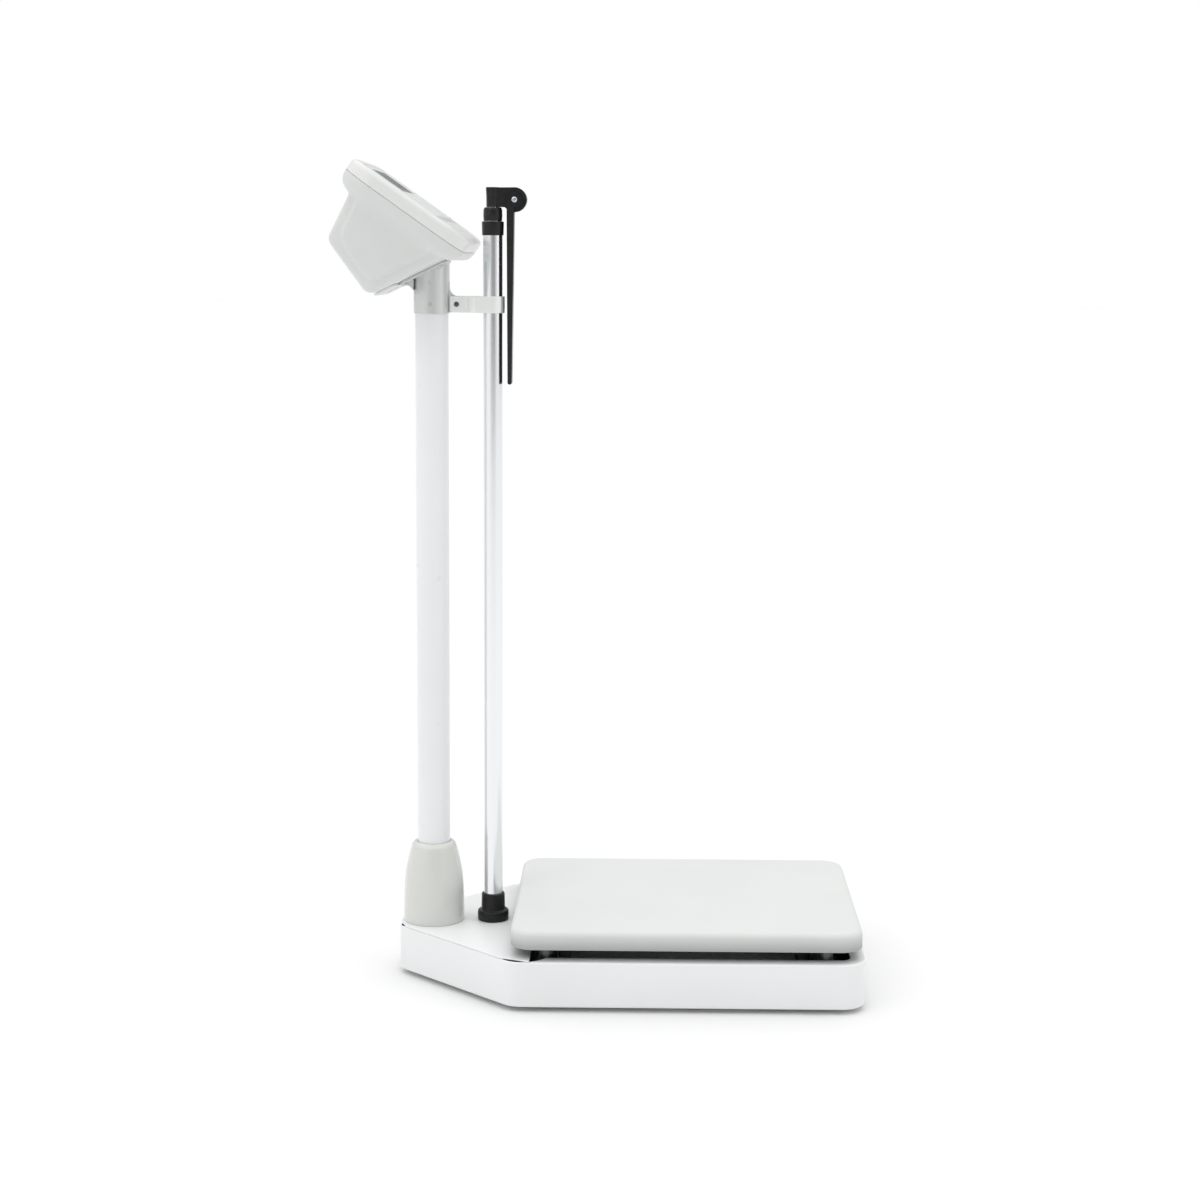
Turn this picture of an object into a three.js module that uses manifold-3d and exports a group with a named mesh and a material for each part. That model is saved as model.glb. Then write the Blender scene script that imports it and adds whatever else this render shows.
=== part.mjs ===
// Digital physician's column scale with a telescoping height rod.
// Millimetres, +Z up, +X towards the weighing platform's far end, origin at the bottom centre.

import * as THREE from 'three';
import { mergeVertices } from 'three/addons/utils/BufferGeometryUtils.js';
import Module from 'manifold-3d';

const wasm = await Module();
wasm.setup();

// ---- driving dimensions -------------------------------------------------------------------

const GAP = 0.3; // air left between pieces that touch
const OVERRUN = 1; // how far a joining or cutting shape runs past the surface it meets
const CLEAR = 80; // reach of a block that cuts away everything on one side of a face
const RIGHT_ANGLE = Math.PI / 2;
const ROUND = 24; // sides of a large round piece
const SMALL_ROUND = 12; // sides of a screw
const ARC_STEP = THREE.MathUtils.degToRad(22.5); // longest step round a filleted corner

// Base tray, seen from above: a rectangle whose tail narrows to the column.
const BASE = {
  front: 303.2,
  halfWidth: 159,
  taperStart: -97,
  tail: -235.1,
  tailHalfWidth: 25,
  frontRadius: 29,
  taperRadius: 31,
  tailRadius: 11,
  bottom: 6,
  top: 58.4,
  sheet: 1.5,
  rimWidth: 18,
  lipWidth: 40,
};
const DECK = { front: -76, edgeGap: 0.6, thickness: 1.2, cornerCut: 18, tailCornerCut: 10, cutRadius: 4 };
const DECK_BOTTOM = BASE.top + GAP;
const DECK_TOP = DECK_BOTTOM + DECK.thickness;
const CABLE_HOLE_RADIUS = 8;

const FOOT = { radius: 11, chamfer: 1, inset: 29, frontX: 265, rearX: -72, tailX: -220.5 };

// Weighing platform and what carries it.
const PLATFORM = { rear: -98.4, front: 298.9, halfWidth: 155, radius: 26, bottom: 71, top: 92.9 };
const PLATFORM_EDGE_RADIUS = 6;
const PLATFORM_SHEET = 1.5;
const RAIL = { y: 136, width: 20, rear: -82, front: 282, topGap: 1 };
const SUPPORT_X = [-58, 258];
const CHANNEL = { width: 46, height: 14, sheet: 2, pad: 3, padLength: 30, endGap: 2 };
const LOAD_CELL = { width: 22, height: 22, inner: 48, outer: 150 };
const CELL_HOLE = { radius: 6, spread: 13, slotHeight: 3 };
const LOAD_PAD = { nutRadius: 9, nutHeight: 6, stemRadius: 5, padRadius: 7.5, padHeight: 9, chamfer: 1 };

// Column and its cover.
const COLUMN = { x: -197, radius: 19, wall: 1.4, top: 800 };
const SOCKET = { flangeRadius: 31, flangeHeight: 4, spigotRadius: 17, spigotTop: 104, bore: 8 };
const COVER_OUTLINE = [[35.7, 60], [35.5, 80], [35.1, 98], [33.9, 115], [31.2, 131], [27.1, 148]];
const COVER_CROWN = [[25.6, 151.7], [23.2, 154.5], [20.6, 155.5], [19.4, 154.7]];
const COVER = { wall: 2.2, collarRadius: 19.4, collarBottom: 149.5 };
const JUNCTION_BOX = { x: -191, length: 56, width: 54, bottom: 30, height: 20 };
const CABLE = { radius: 2.5, top: 872 };

// Height rod: outer tube, middle tube and inner rod, with a collar at the top of each tube.
const ROD_X = -127;
const ROD_FOOT = { flangeRadius: 18.4, flangeTop: 72.5, bodyRadius: 13.7, top: 92.5, floor: 4, edge: 1 };
const OUTER_TUBE = { radius: 11.1, wall: 1.2, top: 875 };
const MIDDLE_TUBE = { radius: 9.5, wall: 1.2, bottom: 100, top: 890.6 };
const INNER_ROD = { radius: 6.35, bottom: 120, top: 911 };
const GUIDE_RING_HEIGHT = 12; // ring at the foot of a sliding tube
const COLLAR_CHAMFER = 0.6;
const LOWER_COLLAR = { radius: 12.6, bottom: 863.6, top: 879.4 };
const UPPER_COLLAR = { radius: 10.9, top: 895.1 };

// Headpiece that hangs from the top of the rod and folds out over the platform.
const PIVOT = { x: -102, z: 903.8 };
const BLOCK = { socketRadius: 7.6, top: 917.7, halfWidth: 6.2, discRadius: 13.9 };
const BLADE = {
  halfWidth: 9.8,
  hubRadius: 8.8,
  topFront: -102.5,
  tipRear: -109.7,
  tipFront: -104.9,
  tip: 694.6,
  tipRadius: 2.2,
  top: 889.2,
};
const PIVOT_SCREW = { headRadius: 4.2, headHeight: 2.3, shankRadius: 2.2, nutRadius: 4.6 };
const PIVOT_NUT_HEIGHT = 3.2;
const SCREW_END = 0.5; // how far a screw's end shows past its nut

// Bracket: a sleeve over the column, a sloping flange under the head and a tab for the strap.
const BOTTOM_TILT = THREE.MathUtils.degToRad(26.3);
const BOTTOM_CENTRE = new THREE.Vector3(-205.5, 0, 822.45); // on the head's sloping underside
const SLEEVE = { radius: 20.5, bottom: 774.9, boreTop: 812, blankTop: 852.5 };
const FLANGE = { rear: -29.7, front: 30.5, halfWidth: 30, radius: 6, thickness: 3.3 };
const FLANGE_SCREW_PLACE = { x: [-24.5, 21], y: 24 };
const FLANGE_SCREW = { headRadius: 3.6, headHeight: 2.4, shankRadius: 2, length: 12 };
const TAB = { front: -157, bottom: 776.2, top: 794.6, halfWidth: 4, fillet: 9, filletRise: 14, root: 4 };
const SLEEVE_SCREW_Z = [785.3, 809.5];
const SLEEVE_SCREW = { headRadius: 2.6, headHeight: 0.9, shankRadius: 1.5, length: 5 };

// Strap that holds the rod to the bracket.
const STRAP = { rear: -175.5, bendStart: -157, bendEnd: -147, thickness: 2, bottom: 775.9, top: 794.8 };
const STRAP_CLEARANCE = 0.5;
const STRAP_BEND_SLACK = 0.1; // keeps the strap's two bends round the rod from meeting
const STRAP_SCREW = { x: -168.1, z: 785.4, headRadius: 2.9, headHeight: 1.8, shankRadius: 1.8 };
const STRAP_NUT = { radius: 3.4, height: 2.6 };

// Display head, drawn in its own frame: x down the slope, z out of the face.
const HEAD_TILT = THREE.MathUtils.degToRad(35);
const FACE_CENTRE = new THREE.Vector3(-209, 0, 901.7);
const HEAD = { halfLength: 78.8, halfWidth: 115, radius: 38, wall: 2.5, seam: -15.7, edgeRadius: 6 };
const RIM_UNDERSIDE = [[-36, 20], [-34.5, 14], [-32, 7.5], [-28.5, 3.2], [-23, 0.8]]; // [z, inset]
const RIM_INSIDE = [[-34, 18], [-31, 7.5], [-27.5, 3.2], [-22, 0.8]];
const BODY = { halfWidth: 100, edgeRadius: 10, draft: 0.1 / 80, draftTop: -33 };
const BODY_CORNERS = [[18.8, -117.1, 12], [68.5, -26], [-61.9, -26], [-53.1, -91.9, 12]];
const FACE = { rear: -66, front: 60, halfWidth: 100, radius: 10, recess: 1.6, plate: 4 };
const BEZEL_INSIDE = [[-16.7, 0], [-8, 0], [-4, 4]];
const OVERLAY_THICKNESS = 0.8;
const WINDOW = { rear: -58, front: -17, halfWidth: 60, radius: 2, thickness: 2.7 };
const KEYS = { x: 35, spacing: 36, length: 12, width: 22, radius: 3, proud: 0.5, bottom: -9.4 };
const KEY_NAMES = ['key_unit', 'key_hold', 'key_power', 'key_tare', 'key_print'];
const BOSS = { radius: 4.5, bottom: 1, top: 10 }; // stands inside the shell round a flange screw
const LCD_MODULE = { margin: 6, top: -4.4, thickness: 5.4 };
const MAIN_BOARD = { halfLength: 62, halfWidth: 98, top: -10.2, thickness: 1.6 };
const BATTERY_PACK = { rear: -49, front: -30, halfWidth: 56, bottom: 5, top: 37 };
const BATTERY_DOOR = { rear: -57, front: -30.6, halfWidth: 60, radius: 4, proud: 3 };
const BATTERY_PLUG = { inset: 6, bottom: -1, top: 2 }; // raised part of the door that fits the doorway

// ---- materials ----------------------------------------------------------------------------

function surface(color, roughness, metalness = 0) {
  return new THREE.MeshStandardMaterial({ color, roughness, metalness });
}

const MATERIALS = {
  whitePaint: surface(0xeeefef, 0.45),
  blackPaint: surface(0x1c1d1f, 0.55),
  greyPlastic: surface(0xd2d5d3, 0.4),
  warmGreyPlastic: surface(0xcfd2cb, 0.3),
  platformCoat: surface(0xdfe2df, 0.65),
  sleeveMetal: surface(0xb4b7b5, 0.4, 0.7),
  strapPaint: surface(0xd6d8d4, 0.3),
  aluminium: surface(0xc9ccce, 0.28, 1),
  steel: surface(0x9b9ea1, 0.35, 1),
  screwSteel: surface(0xc3c7ca, 0.25, 1),
  blackPlastic: surface(0x1e1f20, 0.3),
  blackRubber: surface(0x161616, 0.75),
  overlay: surface(0xf2f3f2, 0.35),
  lcdLens: surface(0x989c9e, 0.15),
  keyCap: surface(0xdadddc, 0.45),
  circuitBoard: surface(0x2f6b45, 0.5),
  cable: surface(0x2a2b2c, 0.6),
};

// ---- outlines -----------------------------------------------------------------------------

// Unit vectors from a corner to the one before and the one after, and half the angle between.
function cornerShape(corners, i) {
  const [x, y] = corners[i];
  const before = corners[(i + corners.length - 1) % corners.length];
  const after = corners[(i + 1) % corners.length];
  const back = new THREE.Vector2(before[0] - x, before[1] - y).normalize();
  const ahead = new THREE.Vector2(after[0] - x, after[1] - y).normalize();
  const half = Math.acos(back.dot(ahead)) / 2;
  const inward = back.clone().add(ahead).normalize();
  return { corner: new THREE.Vector2(x, y), back, ahead, half, inward };
}

// Points round a polygon whose corners [x, y, radius] are rounded.
function filleted(corners) {
  const points = [];
  corners.forEach(([, , radius = 0], i) => {
    const { corner, back, ahead, half, inward } = cornerShape(corners, i);
    if (radius === 0) {
      points.push(corner);
      return;
    }
    const centre = corner.clone().addScaledVector(inward, radius / Math.sin(half));
    const spoke = corner.clone().addScaledVector(back, radius / Math.tan(half)).sub(centre);
    const turn = -Math.sign(back.cross(ahead)) * (Math.PI - 2 * half);
    const steps = Math.max(2, Math.ceil(Math.abs(turn) / ARC_STEP));
    for (let k = 0; k <= steps; k += 1) {
      const arm = spoke.clone().rotateAround(new THREE.Vector2(), (turn * k) / steps);
      points.push(centre.clone().add(arm));
    }
  });
  return points;
}

// A convex polygon's corners moved inwards, with their radii reduced to match.
function inset(corners, distance) {
  return corners.map(([, , radius = 0], i) => {
    const { corner, half, inward } = cornerShape(corners, i);
    corner.addScaledVector(inward, distance / Math.sin(half));
    return [corner.x, corner.y, radius === 0 ? 0 : Math.max(radius - distance, 0.5)];
  });
}

function rectangle(x0, x1, y0, y1, radius = 0) {
  return [[x0, y0, radius], [x1, y0, radius], [x1, y1, radius], [x0, y1, radius]];
}

// ---- solids -------------------------------------------------------------------------------

// A level outline raised from z0 to z1.
function prism(points, z0, z1) {
  const options = { depth: z1 - z0, bevelEnabled: false };
  return new THREE.ExtrudeGeometry(new THREE.Shape(points), options).translate(0, 0, z0);
}

// An outline drawn in X and Z, and widened along Y from y0 to y1.
function sideways(points, y0, y1) {
  return prism(points, -y1, -y0).rotateX(RIGHT_ANGLE);
}

function block(x0, x1, y0, y1, z0, z1) {
  return prism(filleted(rectangle(x0, x1, y0, y1)), z0, z1);
}

// A solid turned about Z: its [radius, z] outline ends on the axis or closes on itself.
function turned(outline, segments = ROUND) {
  const points = outline.map(([radius, z]) => new THREE.Vector2(radius, z));
  if (THREE.ShapeUtils.area(points) < 0) points.reverse();
  if (outline.every(([radius]) => radius > 0)) points.push(points[0].clone());
  return new THREE.LatheGeometry(points, segments).rotateX(RIGHT_ANGLE);
}

function disc(radius, z0, z1, segments = ROUND) {
  return turned([[0, z0], [radius, z0], [radius, z1], [0, z1]], segments);
}

function ring(inner, outer, z0, z1, segments = ROUND) {
  return turned([[inner, z0], [outer, z0], [outer, z1], [inner, z1]], segments);
}

// A round bar along Y at (x, z).
function crossBar(radius, x, z, y0, y1, segments = SMALL_ROUND) {
  return disc(radius, -y1, -y0, segments).rotateX(RIGHT_ANGLE).translate(x, 0, z);
}

// A closed skin through the insets [z, distance] of one convex outline, from the bottom up.
function lofted(corners, levels) {
  const outlines = levels.map(([z, distance]) => ({ z, points: filleted(inset(corners, distance)) }));
  const count = outlines[0].points.length;
  const positions = outlines.flatMap(({ z, points }) => points.flatMap((p) => [p.x, p.y, z]));
  const faces = [];
  for (let level = 0; level + 1 < outlines.length; level += 1) {
    for (let i = 0; i < count; i += 1) {
      const a = level * count + i;
      const b = level * count + ((i + 1) % count);
      faces.push(a, b, b + count, a, b + count, a + count);
    }
  }
  const top = (outlines.length - 1) * count;
  for (let i = 1; i + 1 < count; i += 1) {
    faces.push(0, i + 1, i, top, top + i, top + i + 1);
  }
  const geometry = new THREE.BufferGeometry();
  geometry.setAttribute('position', new THREE.Float32BufferAttribute(positions, 3));
  geometry.setIndex(faces);
  return geometry;
}

// Loft levels for a rounded upper edge that ends at the height top.
function roundedEdge(top, radius, steps = 4) {
  return Array.from({ length: steps + 1 }, (_, k) => {
    const angle = (RIGHT_ANGLE * k) / steps;
    return [top - radius + radius * Math.sin(angle), radius - radius * Math.cos(angle)];
  });
}

function toManifold(geometry) {
  const bare = geometry.clone();
  bare.deleteAttribute('normal');
  bare.deleteAttribute('uv');
  const merged = mergeVertices(bare, 1e-4);
  const corners = merged.index.array;
  const faces = [];
  for (let i = 0; i < corners.length; i += 3) {
    const face = [corners[i], corners[i + 1], corners[i + 2]];
    if (new Set(face).size === 3) faces.push(...face);
  }
  return new wasm.Manifold(new wasm.Mesh({
    numProp: 3,
    vertProperties: new Float32Array(merged.attributes.position.array),
    triVerts: new Uint32Array(faces),
  }));
}

function fromManifold(manifold) {
  const mesh = manifold.getMesh();
  const geometry = new THREE.BufferGeometry();
  geometry.setAttribute('position', new THREE.Float32BufferAttribute(mesh.vertProperties, 3));
  geometry.setIndex([...mesh.triVerts]);
  geometry.computeVertexNormals();
  return geometry;
}

function joined(...geometries) {
  return fromManifold(geometries.map(toManifold).reduce((whole, piece) => whole.add(piece)));
}

function cut(geometry, ...tools) {
  const solids = tools.map(toManifold);
  return fromManifold(solids.reduce((rest, tool) => rest.subtract(tool), toManifold(geometry)));
}

// ---- scene graph --------------------------------------------------------------------------

const scale = new THREE.Group();

function add(parent, name, geometry, material) {
  const mesh = new THREE.Mesh(geometry, material);
  mesh.name = name;
  parent.add(mesh);
  return mesh;
}

function frameAt(position, tilt) {
  const group = new THREE.Group();
  group.position.copy(position);
  group.rotation.y = tilt;
  scale.add(group);
  return group;
}

// ---- base ---------------------------------------------------------------------------------

const BASE_CORNERS = [
  [BASE.front, -BASE.halfWidth, BASE.frontRadius],
  [BASE.front, BASE.halfWidth, BASE.frontRadius],
  [BASE.taperStart, BASE.halfWidth, BASE.taperRadius],
  [BASE.tail, BASE.tailHalfWidth, BASE.tailRadius],
  [BASE.tail, -BASE.tailHalfWidth, BASE.tailRadius],
  [BASE.taperStart, -BASE.halfWidth, BASE.taperRadius],
];

// The rim can't be bent round the corners of the tail, so it is notched there.
function rimNotch(i) {
  const radius = BASE_CORNERS[i][2];
  const { corner, half, inward } = cornerShape(BASE_CORNERS, i);
  corner.addScaledVector(inward, radius / Math.sin(half));
  return disc(radius - BASE.sheet, BASE.top - 2 * BASE.sheet, BASE.top + OVERRUN)
    .translate(corner.x, corner.y, 0);
}

function baseTray() {
  const insideTop = BASE.top - BASE.sheet;
  const walls = prism(filleted(BASE_CORNERS), BASE.bottom, BASE.top);
  const inside = prism(filleted(inset(BASE_CORNERS, BASE.sheet)), BASE.bottom + BASE.sheet, insideTop);
  const mouthOutline = filleted(inset(BASE_CORNERS, BASE.rimWidth));
  const mouth = prism(mouthOutline, insideTop - OVERRUN, BASE.top + OVERRUN);
  const lipOutline = filleted(inset(BASE_CORNERS, BASE.lipWidth));
  const underside = prism(lipOutline, BASE.bottom - OVERRUN, insideTop);
  return cut(walls, inside, mouth, underside, ...[2, 3, 4, 5].map(rimNotch));
}

// A polygon's corner cut off straight, at a distance along each of its sides.
function cutCorner(corners, i, distance) {
  const { corner, back, ahead } = cornerShape(corners, i);
  return [back, ahead].map((way) => {
    const point = corner.clone().addScaledVector(way, distance);
    return [point.x, point.y, DECK.cutRadius];
  });
}

// The deck's corners are cut off where the tray's are rounded, which leaves a slit at each.
function deckPlate() {
  const outline = inset(BASE_CORNERS, DECK.edgeGap);
  const shape = [
    [DECK.front, outline[0][1]], [DECK.front, outline[1][1]],
    ...cutCorner(outline, 2, DECK.cornerCut), ...cutCorner(outline, 3, DECK.tailCornerCut),
    ...cutCorner(outline, 4, DECK.tailCornerCut), ...cutCorner(outline, 5, DECK.cornerCut),
  ];
  const plate = prism(filleted(shape), DECK_BOTTOM, DECK_TOP);
  return cut(plate, disc(CABLE_HOLE_RADIUS, BASE.top, DECK_TOP + OVERRUN).translate(COLUMN.x, 0, 0));
}

// A channel across the tray, open below, with a raised pad for each load cell.
function crossChannel(x) {
  const bottom = BASE.bottom + BASE.sheet + GAP;
  const top = bottom + CHANNEL.height;
  const half = CHANNEL.width / 2;
  const end = BASE.halfWidth - BASE.sheet - CHANNEL.endGap;
  const outside = block(x - half, x + half, -end, end, bottom, top);
  const inside = block(x - half + CHANNEL.sheet, x + half - CHANNEL.sheet,
    -end - OVERRUN, end + OVERRUN, bottom - OVERRUN, top - CHANNEL.sheet);
  const pads = [-1, 1].map((side) => {
    const y = side * (LOAD_CELL.inner + CHANNEL.padLength / 2);
    const reach = CHANNEL.padLength / 2;
    const padHalf = LOAD_CELL.width / 2;
    return block(x - padHalf, x + padHalf, y - reach, y + reach, top - OVERRUN, top + CHANNEL.pad);
  });
  return joined(cut(outside, inside), ...pads);
}

const CELL_BOTTOM = BASE.bottom + BASE.sheet + CHANNEL.height + CHANNEL.pad + 2 * GAP;
const CELL_TOP = CELL_BOTTOM + LOAD_CELL.height;

// A bending-beam cell: a bar with two round holes joined by a slot, which lets its middle flex.
function loadCell(x, side) {
  const middleY = (LOAD_CELL.inner + LOAD_CELL.outer) / 2;
  const middleZ = CELL_BOTTOM + LOAD_CELL.height / 2;
  const half = LOAD_CELL.width / 2;
  const bar = block(-half, half, LOAD_CELL.inner, LOAD_CELL.outer, CELL_BOTTOM, CELL_TOP);
  const { radius, spread, slotHeight } = CELL_HOLE;
  const holes = [-spread, spread].map((offset) => (
    disc(radius, -half - OVERRUN, half + OVERRUN, SMALL_ROUND)
      .rotateY(RIGHT_ANGLE).translate(0, middleY + offset, middleZ)
  ));
  const slot = block(-half - OVERRUN, half + OVERRUN, middleY - spread, middleY + spread,
    middleZ - slotHeight / 2, middleZ + slotHeight / 2);
  const cell = cut(bar, ...holes, slot);
  if (side < 0) cell.rotateZ(Math.PI);
  return cell.translate(x, 0, 0);
}

// The screwed-in stem and rubber-faced pad that carry one corner of the platform.
function loadPad() {
  const { nutRadius, nutHeight, stemRadius, padRadius, padHeight, chamfer } = LOAD_PAD;
  const bottom = CELL_TOP + GAP;
  const top = PLATFORM.bottom;
  return turned([
    [0, bottom], [nutRadius, bottom], [nutRadius, bottom + nutHeight], [stemRadius, bottom + nutHeight],
    [stemRadius, top - padHeight], [padRadius, top - padHeight], [padRadius, top - chamfer],
    [padRadius - chamfer, top], [0, top],
  ], SMALL_ROUND);
}

function foot() {
  const { radius, chamfer } = FOOT;
  const top = BASE.bottom - GAP;
  return turned([[0, 0], [radius - chamfer, 0], [radius, chamfer], [radius, top], [0, top]]);
}

function addBase() {
  add(scale, 'base_tray', baseTray(), MATERIALS.whitePaint);
  add(scale, 'deck_plate', deckPlate(), MATERIALS.whitePaint);
  const footY = BASE.halfWidth - FOOT.inset;
  [['front', FOOT.frontX], ['rear', FOOT.rearX]].forEach(([end, x]) => {
    [['right', -1], ['left', 1]].forEach(([hand, side]) => {
      add(scale, `foot_${end}_${hand}`, foot(), MATERIALS.blackRubber).position.set(x, side * footY, 0);
    });
  });
  add(scale, 'foot_tail', foot(), MATERIALS.blackRubber).position.set(FOOT.tailX, 0, 0);
  ['rear', 'front'].forEach((end, i) => {
    const x = SUPPORT_X[i];
    add(scale, `cross_channel_${end}`, crossChannel(x), MATERIALS.blackPaint);
    [['right', -1], ['left', 1]].forEach(([hand, side]) => {
      add(scale, `load_cell_${end}_${hand}`, loadCell(x, side), MATERIALS.aluminium);
      const pad = add(scale, `load_pad_${end}_${hand}`, loadPad(), MATERIALS.screwSteel);
      pad.position.set(x, side * RAIL.y, 0);
    });
  });
  const { x, length, width, bottom, height } = JUNCTION_BOX;
  const box = block(x - length / 2, x + length / 2, -width / 2, width / 2, bottom, bottom + height);
  add(scale, 'junction_box', box, MATERIALS.cable);
}

// ---- platform -----------------------------------------------------------------------------

function platformCover() {
  const { rear, front, halfWidth, radius, bottom, top } = PLATFORM;
  const corners = rectangle(rear, front, -halfWidth, halfWidth, radius);
  const outside = lofted(corners, [[bottom, 0], ...roundedEdge(top, PLATFORM_EDGE_RADIUS)]);
  const inner = PLATFORM_EDGE_RADIUS - PLATFORM_SHEET;
  const inside = lofted(inset(corners, PLATFORM_SHEET),
    [[bottom - OVERRUN, 0], ...roundedEdge(top - PLATFORM_SHEET, inner)]);
  return cut(outside, inside);
}

function addPlatform() {
  const bottom = PLATFORM.bottom + GAP;
  const top = PLATFORM.top - PLATFORM_SHEET - RAIL.topGap;
  const half = RAIL.width / 2;
  add(scale, 'platform_cover', platformCover(), MATERIALS.platformCoat);
  [['right', -1], ['left', 1]].forEach(([hand, side]) => {
    const y = side * RAIL.y;
    const rail = block(RAIL.rear, RAIL.front, y - half, y + half, bottom, top);
    add(scale, `platform_rail_${hand}`, rail, MATERIALS.blackPaint);
  });
  ['rear', 'front'].forEach((end, i) => {
    const reach = RAIL.y - half - GAP;
    const bar = block(SUPPORT_X[i] - half, SUPPORT_X[i] + half, -reach, reach, bottom, top);
    add(scale, `platform_crossbar_${end}`, bar, MATERIALS.blackPaint);
  });
}

// ---- column -------------------------------------------------------------------------------

// A radial screw hole through the near side of the sleeve and the column.
function sleeveScrewHoles(radius) {
  const start = -SLEEVE.radius - OVERRUN;
  return SLEEVE_SCREW_Z.map((z) => crossBar(radius, COLUMN.x, z, start, start + 2 * SLEEVE_SCREW.length));
}

function columnTube() {
  const bottom = DECK_TOP + SOCKET.flangeHeight + 2 * GAP;
  const tube = ring(COLUMN.radius - COLUMN.wall, COLUMN.radius, bottom, COLUMN.top);
  return cut(tube.translate(COLUMN.x, 0, 0), ...sleeveScrewHoles(SLEEVE_SCREW.shankRadius + GAP));
}

// A round flange bolted to the deck, with a spigot inside the foot of the column.
function columnSocket() {
  const { flangeRadius, flangeHeight, spigotRadius, spigotTop, bore } = SOCKET;
  const bottom = DECK_TOP + GAP;
  const shoulder = bottom + flangeHeight;
  return turned([
    [bore, bottom], [flangeRadius, bottom], [flangeRadius, shoulder],
    [spigotRadius, shoulder], [spigotRadius, spigotTop], [bore, spigotTop],
  ]);
}

// The bell-shaped cover over the column's foot.
function pillarCover() {
  const outside = [...COVER_OUTLINE, ...COVER_CROWN];
  outside[0] = [COVER_OUTLINE[0][0], DECK_TOP + GAP];
  const inside = COVER_OUTLINE.map(([radius, z]) => [radius - COVER.wall, z]).reverse();
  inside[inside.length - 1][1] = DECK_TOP + GAP;
  return turned([...outside, [COVER.collarRadius, COVER.collarBottom], ...inside]);
}

function addColumn() {
  add(scale, 'column_tube', columnTube(), MATERIALS.whitePaint);
  add(scale, 'column_socket', columnSocket(), MATERIALS.steel).position.x = COLUMN.x;
  add(scale, 'pillar_cover', pillarCover(), MATERIALS.warmGreyPlastic).position.x = COLUMN.x;
  const cable = disc(CABLE.radius, JUNCTION_BOX.bottom + JUNCTION_BOX.height + GAP, CABLE.top, 8);
  add(scale, 'signal_cable', cable, MATERIALS.cable).position.x = COLUMN.x;
}

// ---- height rod ---------------------------------------------------------------------------

// A socket moulding: broad flange, narrower neck with a rounded rim, and a blind bore.
function rodFoot() {
  const { flangeRadius, flangeTop, bodyRadius, top, floor, edge } = ROD_FOOT;
  const bottom = DECK_TOP + GAP;
  const bore = OUTER_TUBE.radius + GAP;
  return turned([
    [0, bottom], [flangeRadius - edge, bottom], [flangeRadius, bottom + edge],
    [flangeRadius, flangeTop - 2 * edge], [flangeRadius - 2 * edge, flangeTop], [bodyRadius, flangeTop],
    [bodyRadius, top - edge], [bodyRadius - edge, top], [bore, top],
    [bore, bottom + floor], [0, bottom + floor],
  ]);
}

// A tube with an outer ring at its foot that keeps it central in the tube below.
function slidingTube(radius, inner, bottom, top, guideRadius) {
  const guideTop = bottom + GUIDE_RING_HEIGHT;
  return turned([
    [inner, bottom], [guideRadius, bottom], [guideRadius, guideTop],
    [radius, guideTop], [radius, top], [inner, top],
  ]);
}

// A collar that caps a tube (from bottom up to seat) and guides the next one in its bore.
function collar(radius, tubeRadius, boreRadius, bottom, seat, top) {
  return turned([
    [tubeRadius, bottom], [radius - COLLAR_CHAMFER, bottom], [radius, bottom + COLLAR_CHAMFER],
    [radius, top - COLLAR_CHAMFER], [radius - COLLAR_CHAMFER, top],
    [boreRadius, top], [boreRadius, seat], [tubeRadius, seat],
  ]);
}

// The pivot pin's hole, through a piece of the given half width.
function pinHole(halfWidth) {
  const radius = PIVOT_SCREW.shankRadius + GAP;
  return crossBar(radius, PIVOT.x, PIVOT.z, -halfWidth - OVERRUN, halfWidth + OVERRUN);
}

// Socket on the inner rod, arm and round pivot disc, all in one moulding.
function hingeBlock() {
  const bottom = UPPER_COLLAR.top + GAP;
  const { socketRadius, top, halfWidth, discRadius } = BLOCK;
  const socket = disc(socketRadius, bottom, top).translate(ROD_X, 0, 0);
  const arm = block(ROD_X, PIVOT.x, -halfWidth, halfWidth, bottom, top);
  const knuckle = crossBar(discRadius, PIVOT.x, PIVOT.z, -halfWidth, halfWidth, ROUND);
  const bore = disc(INNER_ROD.radius + GAP, bottom - OVERRUN, INNER_ROD.top + GAP);
  return cut(joined(socket, arm, knuckle), bore.translate(ROD_X, 0, 0), pinHole(halfWidth));
}

// Two cheeks that straddle the pivot disc, and the long tapering blade below them.
function headpiece() {
  const { halfWidth, hubRadius, topFront, tipRear, tipFront, tip, tipRadius, top } = BLADE;
  const rear = PIVOT.x - hubRadius;
  const slot = BLOCK.halfWidth + GAP;
  const blade = sideways(filleted([
    [topFront, top], [rear, top], [tipRear, tip, tipRadius], [tipFront, tip, tipRadius],
  ]), -halfWidth, halfWidth);
  const cheeks = [[-halfWidth, -slot], [slot, halfWidth]].flatMap(([y0, y1]) => [
    crossBar(hubRadius, PIVOT.x, PIVOT.z, y0, y1, ROUND),
    block(rear, topFront, y0, y1, top - OVERRUN, PIVOT.z),
  ]);
  return cut(joined(blade, ...cheeks), pinHole(halfWidth));
}

// A pan-head screw along +Z whose head rests on z = 0 and whose shank reaches down to -length.
function panHeadScrew({ headRadius, headHeight, shankRadius, length }) {
  return turned([
    [0, -length], [shankRadius, -length], [shankRadius, 0], [headRadius, 0],
    [headRadius, headHeight / 2], [headRadius * 0.7, headHeight], [0, headHeight],
  ], SMALL_ROUND);
}

function hexNut(radius, bore, height) {
  return cut(disc(radius, 0, height, 6), disc(bore, -OVERRUN, height + OVERRUN, SMALL_ROUND));
}

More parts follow.
